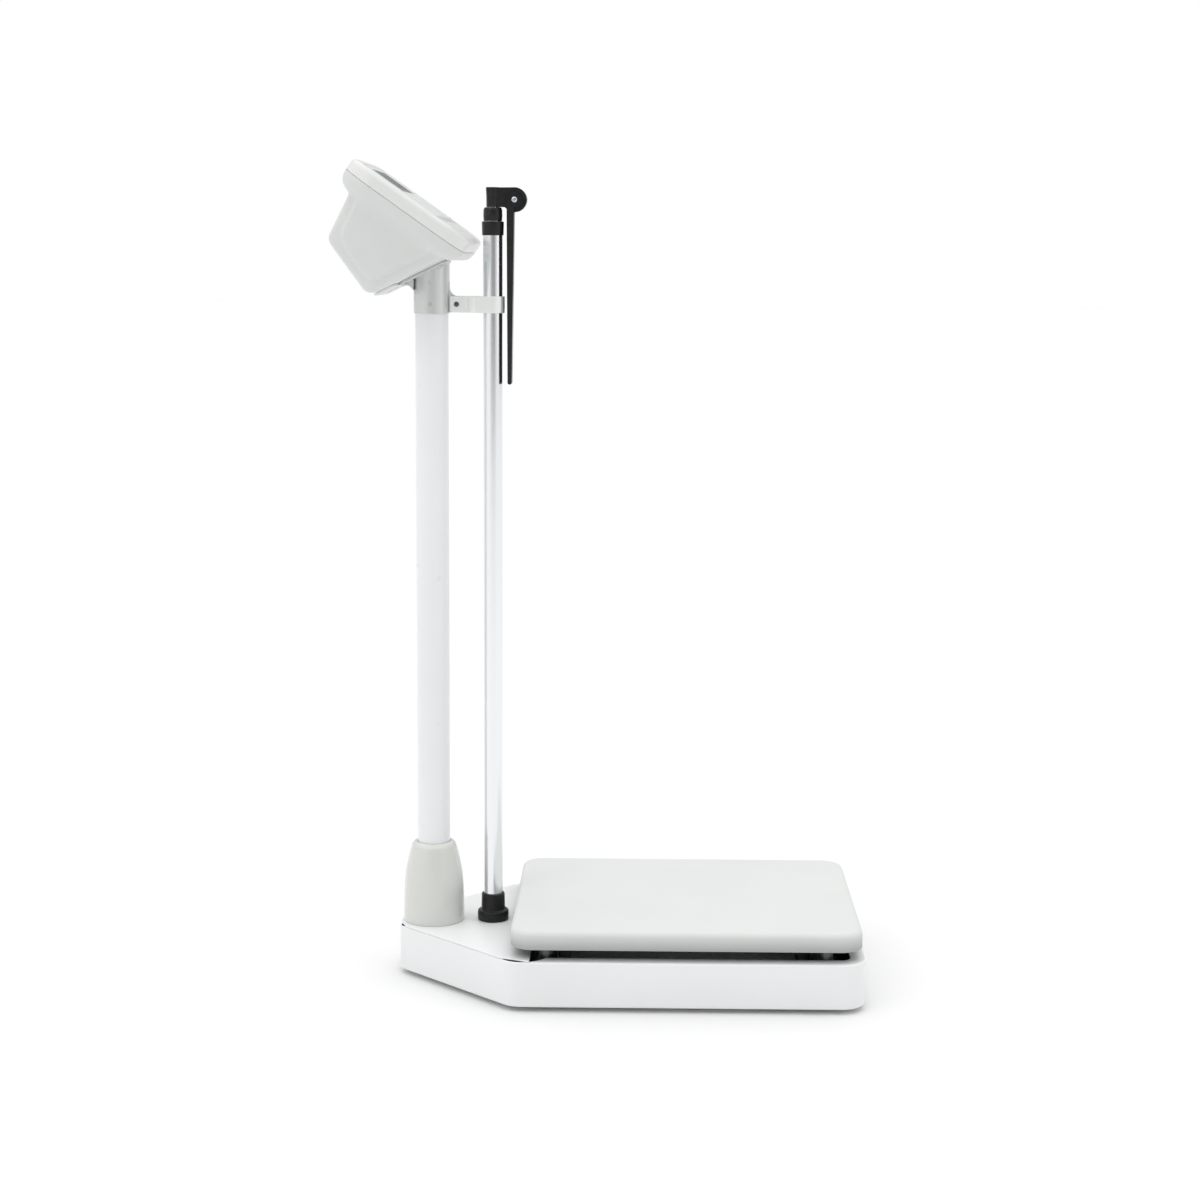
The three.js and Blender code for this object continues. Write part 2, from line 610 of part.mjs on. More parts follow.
function addHeightRod() {
  const middleBore = MIDDLE_TUBE.radius - MIDDLE_TUBE.wall;
  const outerBore = OUTER_TUBE.radius - OUTER_TUBE.wall;
  const rod = new THREE.Group();
  rod.position.x = ROD_X;
  scale.add(rod);
  add(rod, 'rod_foot', rodFoot(), MATERIALS.blackRubber);
  const tubeBottom = DECK_TOP + ROD_FOOT.floor + 2 * GAP;
  const outerTube = ring(outerBore, OUTER_TUBE.radius, tubeBottom, OUTER_TUBE.top);
  add(rod, 'outer_tube', outerTube, MATERIALS.aluminium);
  const lower = LOWER_COLLAR;
  const lowerCollar = collar(lower.radius, OUTER_TUBE.radius + GAP, MIDDLE_TUBE.radius + GAP,
    lower.bottom, OUTER_TUBE.top + GAP, lower.top);
  add(rod, 'lower_collar', lowerCollar, MATERIALS.blackPlastic);
  const middle = slidingTube(MIDDLE_TUBE.radius, middleBore, MIDDLE_TUBE.bottom, MIDDLE_TUBE.top,
    outerBore - GAP / 2);
  add(rod, 'middle_tube', middle, MATERIALS.aluminium);
  const upperCollar = collar(UPPER_COLLAR.radius, MIDDLE_TUBE.radius + GAP, INNER_ROD.radius + GAP,
    lower.top + GAP, MIDDLE_TUBE.top + GAP, UPPER_COLLAR.top);
  add(rod, 'upper_collar', upperCollar, MATERIALS.blackPlastic);
  const guideTop = INNER_ROD.bottom + GUIDE_RING_HEIGHT;
  const innerRod = turned([
    [0, INNER_ROD.bottom], [middleBore - GAP, INNER_ROD.bottom], [middleBore - GAP, guideTop],
    [INNER_ROD.radius, guideTop], [INNER_ROD.radius, INNER_ROD.top], [0, INNER_ROD.top],
  ]);
  add(rod, 'inner_rod', innerRod, MATERIALS.aluminium);
  add(scale, 'hinge_block', hingeBlock(), MATERIALS.blackPlastic);
  add(scale, 'headpiece', headpiece(), MATERIALS.blackPlastic);
  const face = BLADE.halfWidth + GAP;
  const length = 2 * face + PIVOT_NUT_HEIGHT + SCREW_END;
  const screw = panHeadScrew({ ...PIVOT_SCREW, length }).rotateX(RIGHT_ANGLE);
  add(scale, 'pivot_screw', screw, MATERIALS.screwSteel).position.set(PIVOT.x, -face, PIVOT.z);
  const nutSolid = hexNut(PIVOT_SCREW.nutRadius, PIVOT_SCREW.shankRadius + GAP / 2, PIVOT_NUT_HEIGHT);
  const nut = add(scale, 'pivot_nut', nutSolid.rotateX(-RIGHT_ANGLE), MATERIALS.screwSteel);
  nut.position.set(PIVOT.x, face, PIVOT.z);
}

// ---- bracket and strap --------------------------------------------------------------------

// Turns a shape drawn on the head's underside into its place in the scale's frame.
function ontoUnderside(geometry) {
  return geometry.rotateY(-BOTTOM_TILT).translate(BOTTOM_CENTRE.x, BOTTOM_CENTRE.y, BOTTOM_CENTRE.z);
}

function flangeScrewPlaces() {
  return FLANGE_SCREW_PLACE.x.flatMap((x) => [-1, 1].map((side) => [x, side * FLANGE_SCREW_PLACE.y]));
}

// A hole through the strap and the bracket's tab.
function strapScrewHole() {
  const reach = 2 * TAB.halfWidth;
  return crossBar(STRAP_SCREW.shankRadius + GAP, STRAP_SCREW.x, STRAP_SCREW.z, -reach, reach);
}

function headBracket() {
  const { rear, front, halfWidth, radius, thickness } = FLANGE;
  const flangeTop = -GAP;
  const plate = ontoUnderside(prism(filleted(rectangle(rear, front, -halfWidth, halfWidth, radius)),
    flangeTop - thickness, flangeTop));
  const above = ontoUnderside(block(-CLEAR, CLEAR, -CLEAR, CLEAR, flangeTop, CLEAR));
  const sleeve = cut(disc(SLEEVE.radius, SLEEVE.bottom, SLEEVE.blankTop).translate(COLUMN.x, 0, 0), above);
  const sleeveFront = COLUMN.x + SLEEVE.radius;
  const tab = sideways(filleted([
    [sleeveFront - TAB.root, TAB.bottom], [TAB.front, TAB.bottom], [TAB.front, TAB.top],
    [sleeveFront, TAB.top, TAB.fillet], [sleeveFront, TAB.top + TAB.filletRise],
    [sleeveFront - TAB.root, TAB.top + TAB.filletRise],
  ]), -TAB.halfWidth, TAB.halfWidth);
  const bore = disc(COLUMN.radius + GAP, SLEEVE.bottom - OVERRUN, SLEEVE.boreTop).translate(COLUMN.x, 0, 0);
  const cableHole = disc(CABLE_HOLE_RADIUS, SLEEVE.bottom, SLEEVE.blankTop).translate(COLUMN.x, 0, 0);
  const screwHoles = flangeScrewPlaces().map(([x, y]) => {
    const hole = disc(FLANGE_SCREW.shankRadius + GAP, -2 * thickness, thickness, SMALL_ROUND);
    return ontoUnderside(hole.translate(x, y, 0));
  });
  return cut(joined(sleeve, plate, tab), bore, cableHole, strapScrewHole(), ...screwHoles,
    ...sleeveScrewHoles(SLEEVE_SCREW.shankRadius + GAP));
}

// A band bent into a U: it grips the bracket's tab, opens out and wraps the rod.
function rodStrap() {
  const { rear, bendStart, bendEnd, thickness, bottom, top } = STRAP;
  const side = (y, reach) => [
    [rear, -y], [bendStart, -y], [bendEnd, -reach],
    [ROD_X + reach, -reach, reach - STRAP_BEND_SLACK], [ROD_X + reach, reach, reach - STRAP_BEND_SLACK],
    [bendEnd, reach], [bendStart, y], [rear, y],
  ];
  const gripInside = TAB.halfWidth + GAP;
  const loopInside = OUTER_TUBE.radius + STRAP_CLEARANCE;
  const outside = side(gripInside + thickness, loopInside + thickness);
  const inside = side(gripInside, loopInside).reverse();
  return cut(prism(filleted([...outside, ...inside]), bottom, top), strapScrewHole());
}

function addBracket() {
  add(scale, 'head_bracket', headBracket(), MATERIALS.sleeveMetal);
  const underside = frameAt(BOTTOM_CENTRE, -BOTTOM_TILT);
  const flangeBottom = -GAP - FLANGE.thickness;
  flangeScrewPlaces().forEach(([x, y], i) => {
    const screw = add(underside, `flange_screw_${i + 1}`, panHeadScrew(FLANGE_SCREW), MATERIALS.screwSteel);
    screw.rotation.x = Math.PI;
    screw.position.set(x, y, flangeBottom - GAP);
  });
  SLEEVE_SCREW_Z.forEach((z, i) => {
    const name = ['sleeve_screw_lower', 'sleeve_screw_upper'][i];
    const screw = add(scale, name, panHeadScrew(SLEEVE_SCREW), MATERIALS.sleeveMetal);
    screw.rotation.x = RIGHT_ANGLE;
    screw.position.set(COLUMN.x, -SLEEVE.radius - GAP, z);
  });
  add(scale, 'rod_strap', rodStrap(), MATERIALS.strapPaint);
  const strapFace = TAB.halfWidth + STRAP.thickness + 2 * GAP;
  const length = 2 * strapFace + STRAP_NUT.height + SCREW_END;
  const screwSolid = panHeadScrew({ ...STRAP_SCREW, length }).rotateX(RIGHT_ANGLE);
  const strapScrew = add(scale, 'strap_screw', screwSolid, MATERIALS.screwSteel);
  strapScrew.position.set(STRAP_SCREW.x, -strapFace, STRAP_SCREW.z);
  const nutSolid = hexNut(STRAP_NUT.radius, STRAP_SCREW.shankRadius + GAP / 2, STRAP_NUT.height);
  const strapNut = add(scale, 'strap_nut', nutSolid.rotateX(-RIGHT_ANGLE), MATERIALS.screwSteel);
  strapNut.position.set(STRAP_SCREW.x, strapFace, STRAP_SCREW.z);
}

// ---- display head -------------------------------------------------------------------------

const HEAD_CORNERS = rectangle(
  -HEAD.halfLength, HEAD.halfLength, -HEAD.halfWidth, HEAD.halfWidth, HEAD.radius,
);

// The body under the rim, reduced all round by a wall thickness; its sides lean in slightly.
function headBody(wall) {
  const edge = BODY.edgeRadius - wall;
  const half = BODY.halfWidth - wall;
  const shape = new THREE.Shape(filleted(inset(BODY_CORNERS, wall)));
  const body = new THREE.ExtrudeGeometry(shape, {
    depth: 2 * (half - edge), bevelThickness: edge, bevelSize: edge, bevelOffset: -edge, bevelSegments: 2,
  }).translate(0, 0, edge - half).rotateX(RIGHT_ANGLE);
  const places = body.attributes.position;
  for (let i = 0; i < places.count; i += 1) {
    const below = Math.max(BODY.draftTop - places.getZ(i), 0);
    places.setY(i, places.getY(i) * (1 - BODY.draft * below));
  }
  return body;
}

// Moves a shape from the scale's frame into the head's own frame.
function intoHeadFrame(geometry) {
  return geometry.translate(-FACE_CENTRE.x, -FACE_CENTRE.y, -FACE_CENTRE.z).rotateY(-HEAD_TILT);
}

function rearShell() {
  const seam = HEAD.seam - GAP;
  const rim = lofted(HEAD_CORNERS, [...RIM_UNDERSIDE, [seam, 0]]);
  const rimInside = lofted(inset(HEAD_CORNERS, HEAD.wall), [...RIM_INSIDE, [seam + OVERRUN, 0]]);
  const shell = cut(joined(rim, headBody(0)), rimInside, headBody(HEAD.wall));
  const upright = (radius, bottom, top) => flangeScrewPlaces().map(([x, y]) => (
    intoHeadFrame(ontoUnderside(disc(radius, bottom, top, SMALL_ROUND).translate(x, y, 0)))
  ));
  const bosses = upright(BOSS.radius, BOSS.bottom, BOSS.top);
  const screwHoles = upright(FLANGE_SCREW.shankRadius + GAP, -HEAD.wall, BOSS.top + HEAD.wall);
  const cableHole = disc(CABLE_HOLE_RADIUS, COLUMN.top, SLEEVE.blankTop).translate(COLUMN.x, 0, 0);
  const { rear, front, halfWidth } = BATTERY_DOOR;
  const reach = halfWidth - BATTERY_PLUG.inset;
  const doorway = block(rear + BATTERY_PLUG.inset, front - BATTERY_PLUG.inset, -reach, reach,
    -HEAD.wall, 2 * HEAD.wall);
  return cut(joined(shell, ...bosses), ...screwHoles, intoHeadFrame(cableHole),
    intoHeadFrame(ontoUnderside(doorway)));
}

function keyPlaces() {
  return KEY_NAMES.map((name, i) => ({ name, y: (i - (KEY_NAMES.length - 1) / 2) * KEYS.spacing }));
}

function keyOutline(y, clearance) {
  const halfLength = KEYS.length / 2 + clearance;
  const halfWidth = KEYS.width / 2 + clearance;
  return filleted(rectangle(KEYS.x - halfLength, KEYS.x + halfLength,
    y - halfWidth, y + halfWidth, KEYS.radius));
}

function windowOutline(clearance) {
  const { rear, front, halfWidth, radius } = WINDOW;
  const reach = halfWidth + clearance;
  return filleted(rectangle(rear - clearance, front + clearance, -reach, reach, radius));
}

function faceOutline(clearance) {
  const { rear, front, halfWidth, radius } = FACE;
  return filleted(inset(rectangle(rear, front, -halfWidth, halfWidth, radius), clearance));
}

// Holes through the face for the display window and the keys.
function faceOpenings() {
  return [windowOutline(GAP), ...keyPlaces().map(({ y }) => keyOutline(y, GAP))]
    .map((outline) => prism(outline, -2 * FACE.plate, OVERRUN));
}

function frontBezel() {
  const outside = lofted(HEAD_CORNERS, [[HEAD.seam, 0], ...roundedEdge(0, HEAD.edgeRadius)]);
  const inside = lofted(inset(HEAD_CORNERS, HEAD.wall), BEZEL_INSIDE);
  return cut(outside, inside, prism(faceOutline(0), -FACE.recess, OVERRUN), ...faceOpenings());
}

function faceOverlay() {
  const bottom = -FACE.recess + GAP;
  return cut(prism(faceOutline(GAP), bottom, bottom + OVERLAY_THICKNESS), ...faceOpenings());
}

function addHead() {
  const head = frameAt(FACE_CENTRE, HEAD_TILT);
  add(head, 'rear_shell', rearShell(), MATERIALS.greyPlastic);
  add(head, 'front_bezel', frontBezel(), MATERIALS.greyPlastic);
  add(head, 'face_overlay', faceOverlay(), MATERIALS.overlay);
  const overlayTop = -FACE.recess + GAP + OVERLAY_THICKNESS;
  const window = prism(windowOutline(0), overlayTop - WINDOW.thickness, overlayTop);
  add(head, 'lcd_window', window, MATERIALS.lcdLens);
  const { margin, top, thickness } = LCD_MODULE;
  const reach = WINDOW.halfWidth + margin;
  const module = block(WINDOW.rear - margin, WINDOW.front + margin, -reach, reach, top - thickness, top);
  add(head, 'lcd_module', module, MATERIALS.blackPlastic);
  const board = MAIN_BOARD;
  const boardSolid = block(-board.halfLength, board.halfLength, -board.halfWidth, board.halfWidth,
    board.top - board.thickness, board.top);
  add(head, 'main_board', boardSolid, MATERIALS.circuitBoard);
  keyPlaces().forEach(({ name, y }) => {
    add(head, name, prism(keyOutline(y, 0), KEYS.bottom, overlayTop + KEYS.proud), MATERIALS.keyCap);
  });
}

// Batteries and their door, both square to the head's sloping underside.
function addBatteries() {
  const underside = frameAt(BOTTOM_CENTRE, -BOTTOM_TILT);
  const pack = BATTERY_PACK;
  const packSolid = block(pack.rear, pack.front, -pack.halfWidth, pack.halfWidth, pack.bottom, pack.top);
  add(underside, 'battery_pack', packSolid, MATERIALS.blackPlastic);
  const { rear, front, halfWidth, radius, proud } = BATTERY_DOOR;
  const lid = prism(filleted(rectangle(rear, front, -halfWidth, halfWidth, radius)), -proud, -GAP);
  const margin = BATTERY_PLUG.inset + GAP;
  const reach = halfWidth - margin;
  const plug = block(rear + margin, front - margin, -reach, reach, BATTERY_PLUG.bottom, BATTERY_PLUG.top);
  add(underside, 'battery_door', joined(lid, plug), MATERIALS.greyPlastic);
}

addBase();
addPlatform();
addColumn();
addHeightRod();
addBracket();
addHead();
addBatteries();

export default scale;
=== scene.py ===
"""Looks of a digital physician's column scale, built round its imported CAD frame.

Pieces are drawn in millimetres in the frame's own axes and turned into metres when made.
"""
import math

import bmesh
import bpy
from mathutils import Matrix, Vector


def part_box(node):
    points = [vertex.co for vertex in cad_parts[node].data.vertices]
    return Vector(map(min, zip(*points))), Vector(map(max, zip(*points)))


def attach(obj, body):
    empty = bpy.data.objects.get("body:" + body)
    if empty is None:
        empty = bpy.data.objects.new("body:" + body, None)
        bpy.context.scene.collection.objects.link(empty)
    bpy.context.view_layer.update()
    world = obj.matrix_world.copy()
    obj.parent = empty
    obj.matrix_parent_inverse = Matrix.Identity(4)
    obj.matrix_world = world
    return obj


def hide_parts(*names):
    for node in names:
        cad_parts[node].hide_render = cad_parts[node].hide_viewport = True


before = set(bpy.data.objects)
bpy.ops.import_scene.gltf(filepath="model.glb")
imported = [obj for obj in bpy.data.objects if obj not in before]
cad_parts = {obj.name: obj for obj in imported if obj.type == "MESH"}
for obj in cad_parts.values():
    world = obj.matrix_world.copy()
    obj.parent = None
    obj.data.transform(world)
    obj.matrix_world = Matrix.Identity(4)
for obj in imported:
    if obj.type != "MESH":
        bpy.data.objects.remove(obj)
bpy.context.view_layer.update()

MM = 0.001
ROUND = 96  # sides of a large round piece
SMALL_ROUND = 40  # sides of a screw
ARC_STEP = math.radians(5)  # longest step round a filleted corner


# ---- places taken from the frame ----


def low(node):
    """Lowest corner of a CAD node, in millimetres."""
    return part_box(node)[0] / MM


def high(node):
    """Highest corner of a CAD node, in millimetres."""
    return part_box(node)[1] / MM


def middle(node):
    return (low(node) + high(node)) / 2


COLUMN_X = middle("column_tube").x
ROD_X = middle("outer_tube").x
DECK_TOP = high("deck_plate").z
PIVOT = Vector((middle("pivot_screw").x, 0, middle("pivot_screw").z))
HEAD_TILT = math.radians(35)
FACE_CENTRE = Vector((-209, 0, 901.7))  # middle of the display head's front face
UNDERSIDE_TILT = math.radians(26.3)
UNDERSIDE_CENTRE = Vector((-205.5, 0, 822.45))  # on the head's sloping underside
HEAD_FRAME = Matrix.Translation(FACE_CENTRE) @ Matrix.Rotation(HEAD_TILT, 4, "Y")
UNDERSIDE_FRAME = Matrix.Translation(UNDERSIDE_CENTRE) @ Matrix.Rotation(-UNDERSIDE_TILT, 4, "Y")
FACING_FRONT = Matrix.Rotation(math.pi / 2, 4, "X")  # turns +Z to -Y, the scale's right side


# ---- outlines ----


def corner_shape(corners, i):
    """A polygon's corner: its point, the unit vectors to its neighbours, half its angle, inwards."""
    point = Vector(corners[i][:2])
    back = (Vector(corners[i - 1][:2]) - point).normalized()
    ahead = (Vector(corners[(i + 1) % len(corners)][:2]) - point).normalized()
    half = math.acos(max(-1.0, min(1.0, back.dot(ahead)))) / 2
    return point, back, ahead, half, (back + ahead).normalized()


def arc_at(corners, i, step):
    """Points of the arc that rounds corner i, whose third number is its radius."""
    point, back, ahead, half, inward = corner_shape(corners, i)
    radius = corners[i][2] if len(corners[i]) > 2 else 0
    if radius == 0:
        return [point]
    centre = point + inward * radius / math.sin(half)
    spoke = point + back * radius / math.tan(half) - centre
    turn = math.copysign(math.pi - 2 * half, ahead.cross(back))
    count = max(2, math.ceil(abs(turn) / step))
    return [centre + Matrix.Rotation(turn * k / count, 2) @ spoke for k in range(count + 1)]


def filleted(corners, step=ARC_STEP):
    """Points round a closed polygon whose corners (x, y, radius) are rounded."""
    return [p for i in range(len(corners)) for p in arc_at(corners, i, step)]


def filleted_path(corners, step=math.radians(15)):
    """The same along an open path: its two ends stay sharp."""
    inner = [p for i in range(1, len(corners) - 1) for p in arc_at(corners, i, step)]
    return [Vector(corners[0][:2]), *inner, Vector(corners[-1][:2])]


def inset(corners, distance):
    """A convex polygon's corners moved inwards, with their radii reduced to match."""
    moved = []
    for i, corner in enumerate(corners):
        point, _, _, half, inward = corner_shape(corners, i)
        point = point + inward * distance / math.sin(half)
        radius = corner[2] if len(corner) > 2 else 0
        moved.append((point.x, point.y, max(radius - distance, 0.4) if radius else 0))
    return moved


def rectangle(x0, x1, y0, y1, radius=0):
    return [(x0, y0, radius), (x1, y0, radius), (x1, y1, radius), (x0, y1, radius)]


# ---- meshes ----


def skin(loops, wrap=False):
    """A closed mesh through loops of points, each a ring of the same length or a single pole."""
    mesh = bmesh.new()
    rings = [[mesh.verts.new(p) for p in loop] for loop in loops]
    pairs = list(zip(rings, rings[1:] + rings[:1]))
    for a, b in pairs if wrap else pairs[:-1]:
        count = max(len(a), len(b))
        for i in range(count):
            j = (i + 1) % count
            corners = [a[i % len(a)], a[j % len(a)], b[j % len(b)], b[i % len(b)]]
            mesh.faces.new(list(dict.fromkeys(corners)))
    if not wrap:
        for ring in (rings[0], rings[-1]):
            if len(ring) > 2:
                mesh.faces.new(ring)
    bmesh.ops.recalc_face_normals(mesh, faces=mesh.faces)
    return mesh


def level(points, z):
    return [Vector((p.x, p.y, z)) for p in points]


def prism(points, z0, z1):
    return skin([level(points, z0), level(points, z1)])


def block(x0, x1, y0, y1, z0, z1):
    return prism(filleted(rectangle(x0, x1, y0, y1)), z0, z1)


def stacked(corners, levels, wrap=False):
    """A skin through the insets (z, distance) of one convex outline."""
    return skin([level(filleted(inset(corners, d)), z) for z, d in levels], wrap)


def lathe(profile, segments=ROUND):
    """A solid turned about Z from (radius, z) points; off the axis, the profile closes on itself."""
    loops = []
    for radius, z in profile:
        angles = [2 * math.pi * k / segments for k in range(segments)] if radius > 0 else [0]
        loops.append([Vector((radius * math.cos(a), radius * math.sin(a), z)) for a in angles])
    return skin(loops, wrap=all(radius > 0 for radius, _ in profile))


def rounded_edge(top, radius, steps=6):
    """Levels (z, inset) of an upper edge rounded to end at the height top."""
    angles = [math.pi / 2 * k / steps for k in range(steps + 1)]
    return [(top - radius + radius * math.sin(a), radius - radius * math.cos(a)) for a in angles]


def sideways(points, y0, y1):
    """A prism along Y of an outline drawn in X and Z."""
    return moved(prism(points, -y1, -y0), FACING_FRONT)


def round_hole(x, y, radius, bottom, top):
    """A thin upright bar that drills a hole."""
    return shifted(lathe([(0, bottom), (radius, bottom), (radius, top), (0, top)], SMALL_ROUND), x, y)


def cross_bar(radius, x, z, y0, y1, segments=SMALL_ROUND):
    return moved(lathe([(0, -y1), (radius, -y1), (radius, -y0), (0, -y0)], segments),
                 Matrix.Translation((x, 0, z)) @ FACING_FRONT)


def moved(mesh, matrix):
    mesh.transform(matrix)
    return mesh


def shifted(mesh, x=0.0, y=0.0, z=0.0):
    return moved(mesh, Matrix.Translation((x, y, z)))


def to_object(mesh, name):
    data = bpy.data.meshes.new(name)
    mesh.to_mesh(data)
    mesh.free()
    obj = bpy.data.objects.new(name, data)
    bpy.context.scene.collection.objects.link(obj)
    return obj


def modified_mesh(obj):
    """The object's mesh with its modifiers applied."""
    bpy.context.view_layer.update()
    whole = bpy.data.meshes.new_from_object(obj.evaluated_get(bpy.context.evaluated_depsgraph_get()))
    result = bmesh.new()
    result.from_mesh(whole)
    return result


def combined(mesh, others, operation):
    """The mesh after joining ("UNION") or cutting ("DIFFERENCE") the others."""
    body = to_object(mesh, "work")
    tools = [to_object(other, "tool") for other in others]
    for tool in tools:
        modifier = body.modifiers.new("boolean", "BOOLEAN")
        modifier.operation = operation
        modifier.solver = "EXACT"
        modifier.object = tool
    result = modified_mesh(body)
    for obj in (body, *tools):
        bpy.data.objects.remove(obj)
    return result


def softened(mesh, voxel, passes):
    """The mesh rebuilt from small even faces and smoothed, which fillets every edge."""
    body = to_object(mesh, "work")
    remesh = body.modifiers.new("remesh", "REMESH")
    remesh.mode = "VOXEL"
    remesh.voxel_size = voxel
    smooth = body.modifiers.new("smooth", "SMOOTH")
    smooth.factor = 0.5
    smooth.iterations = passes
    result = modified_mesh(body)
    bpy.data.objects.remove(body)
    return result


def merged(*meshes):
    """Separate solids in one mesh."""
    result = meshes[0]
    for other in meshes[1:]:
        data = bpy.data.meshes.new("part")
        other.to_mesh(data)
        other.free()
        result.from_mesh(data)
    return result


def joined(mesh, *others):
    return combined(mesh, others, "UNION")


def cut(mesh, *others):
    return combined(mesh, others, "DIFFERENCE")


def piece(name, mesh, body, material, replaces=(), bevel=0.0, smooth=32):
    """Makes an object from a mesh in millimetres and hands it to the frame."""
    bmesh.ops.remove_doubles(mesh, verts=mesh.verts, dist=0.002)
    mesh.transform(Matrix.Scale(MM, 4))
    obj = to_object(mesh, name)
    if bevel:
        add_bevel(obj, bevel)
    obj.data.shade_smooth()
    obj.data.set_sharp_from_angle(angle=math.radians(smooth))
    obj.data.materials.append(material)
    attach(obj, body)
    if replaces:
        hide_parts(*replaces)
    return obj


def add_bevel(obj, width, segments=3, angle=32):
    modifier = obj.modifiers.new("bevel", "BEVEL")
    modifier.width = width * MM
    modifier.segments = segments
    modifier.limit_method = "ANGLE"
    modifier.angle_limit = math.radians(angle)
    modifier.harden_normals = True
    modifier.use_clamp_overlap = True


def finish_node(node, material, bevel=0.0):
    """Keeps a CAD node's shape, and gives it a material and softened edges."""
    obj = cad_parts[node]
    obj.data.materials.clear()
    obj.data.materials.append(material)
    if bevel:
        add_bevel(obj, bevel, segments=2)
    return obj


# ---- materials ----


class Surface:
    """A Principled material with its texture nodes in the frame's own coordinates."""

    def __init__(self, name, color, roughness, **sockets):
        self.material = bpy.data.materials.new(name)
        self.material.use_nodes = True
        self.tree = self.material.node_tree
        self.shader = self.tree.nodes["Principled BSDF"]
        self.shader.inputs["Base Color"].default_value = (*color, 1)
        self.shader.inputs["Roughness"].default_value = roughness
        for socket, value in sockets.items():
            self.shader.inputs[socket.replace("_", " ")].default_value = value
        self.place = self.add("ShaderNodeTexCoord").outputs["Object"]
        self.heights = []

    def add(self, kind, inputs=None, **settings):
        node = self.tree.nodes.new(kind)
        for key, value in settings.items():
            setattr(node, key, value)
        for key, value in (inputs or {}).items():
            self.feed(node.inputs[key], value)
        return node

    def feed(self, socket, value):
        if isinstance(value, bpy.types.NodeSocket):
            self.tree.links.new(value, socket)
        else:
            socket.default_value = value

    def stretched(self, scale):
        return self.add("ShaderNodeMapping", {"Vector": self.place, "Scale": scale}).outputs["Vector"]

    def noise(self, scale, detail=3.0, stretch=None):
        vector = self.stretched(stretch) if stretch else self.place
        inputs = {"Vector": vector, "Scale": scale, "Detail": detail}
        return self.add("ShaderNodeTexNoise", inputs).outputs["Fac"]

    def spread(self, value, low, high, start=0.3, end=0.7):
        """A texture value remapped to run from low to high."""
        inputs = {"Value": value, "From Min": start, "From Max": end, "To Min": low, "To Max": high}
        return self.add("ShaderNodeMapRange", inputs).outputs["Result"]

    def tint(self, value, dark, light, start=0.3, end=0.7):
        """Lets a texture value blend the base colour between two tones."""
        ramp = self.add("ShaderNodeValToRGB", {"Fac": value})
        ramp.color_ramp.elements[0].position = start
        ramp.color_ramp.elements[0].color = (*dark, 1)
        ramp.color_ramp.elements[1].position = end
        ramp.color_ramp.elements[1].color = (*light, 1)
        self.feed(self.shader.inputs["Base Color"], ramp.outputs["Color"])
        return self

    def polish(self, value, low, high):
        self.feed(self.shader.inputs["Roughness"], self.spread(value, low, high))
        return self

    def bump(self, value, depth, strength=1.0):
        """Raises the surface by a texture value; depth is in millimetres."""
        inputs = {"Height": value, "Distance": depth * MM, "Strength": strength}
        if self.heights:
            inputs["Normal"] = self.heights[-1]
        node = self.add("ShaderNodeBump", inputs)
        self.heights.append(node.outputs["Normal"])
        self.feed(self.shader.inputs["Normal"], node.outputs["Normal"])
        return self


def shade(color, factor):
    return tuple(channel * factor for channel in color)


def powder_coat(name, color, roughness=0.38, peel=0.03):
    """Baked powder coat: faint orange peel and a slow drift of tone."""
    surface = Surface(name, color, roughness, Coat_Weight=0.15, Coat_Roughness=0.25)
    surface.tint(surface.noise(6.0, 4.0), shade(color, 0.975), shade(color, 1.01))
    surface.polish(surface.noise(40.0, 4.0), roughness - 0.05, roughness + 0.07)
    surface.bump(surface.noise(650.0, 2.0), peel)
    return surface.material


SKIRT_SHADE_HEIGHTS = (0.074, 0.089)  # metres: painted shade is full below the first and gone above the second


def platform_coat():
    """Matt coat that gives grip underfoot, with painted shade darkening it down the skirt, and a little
    scuffed.
    """
    color = (0.68, 0.70, 0.685)
    surface = Surface("platform_coat", color, 0.6)
    height = surface.add("ShaderNodeSeparateXYZ", {"Vector": surface.place}).outputs["Z"]
    # Painted shade: the colour darkens down the skirt towards its bottom edge.
    skirt_shade_fade = surface.spread(height, 0.0, 1.0, *SKIRT_SHADE_HEIGHTS)
    scuffs = surface.spread(surface.noise(9.0, 6.0), -0.05, 0.02)
    blend = surface.add("ShaderNodeMath", {0: skirt_shade_fade, 1: scuffs}, operation="ADD")
    surface.tint(blend.outputs["Value"], shade(color, 0.58), color, start=0.0, end=1.0)
    surface.polish(surface.noise(25.0, 5.0), 0.55, 0.66)
    surface.bump(surface.noise(1300.0, 3.0), 0.03)
    return surface.material


def moulded_plastic(name, color, roughness, grain=0.03, coat=0.0):
    """Injection-moulded plastic with a fine spark-eroded grain."""
    surface = Surface(name, color, roughness, Coat_Weight=coat, Coat_Roughness=0.12)
    surface.tint(surface.noise(14.0, 4.0), shade(color, 0.985), shade(color, 1.01))
    surface.polish(surface.noise(60.0, 5.0), roughness - 0.015, roughness + 0.02)
    surface.bump(surface.noise(1700.0, 2.0), grain)
    return surface.material


def black_moulding():
    """Glossy black plastic with faint rubbing marks."""
    color = (0.012, 0.012, 0.013)
    surface = Surface("black_moulding", color, 0.22, Specular_IOR_Level=0.26)
    surface.tint(surface.noise(90.0, 5.0), color, shade(color, 1.5))
    surface.polish(surface.noise(160.0, 6.0, stretch=(1, 1, 0.25)), 0.17, 0.28)
    surface.bump(surface.noise(900.0, 2.0), 0.004)
    return surface.material


def black_rubber():
    surface = Surface("black_rubber", (0.008, 0.008, 0.009), 0.36, Specular_IOR_Level=0.26)
    surface.tint(surface.noise(120.0, 5.0), (0.008, 0.008, 0.009), (0.014, 0.014, 0.015))
    surface.polish(surface.noise(180.0, 4.0), 0.3, 0.42)
    surface.bump(surface.noise(1400.0, 2.0), 0.01)
    return surface.material


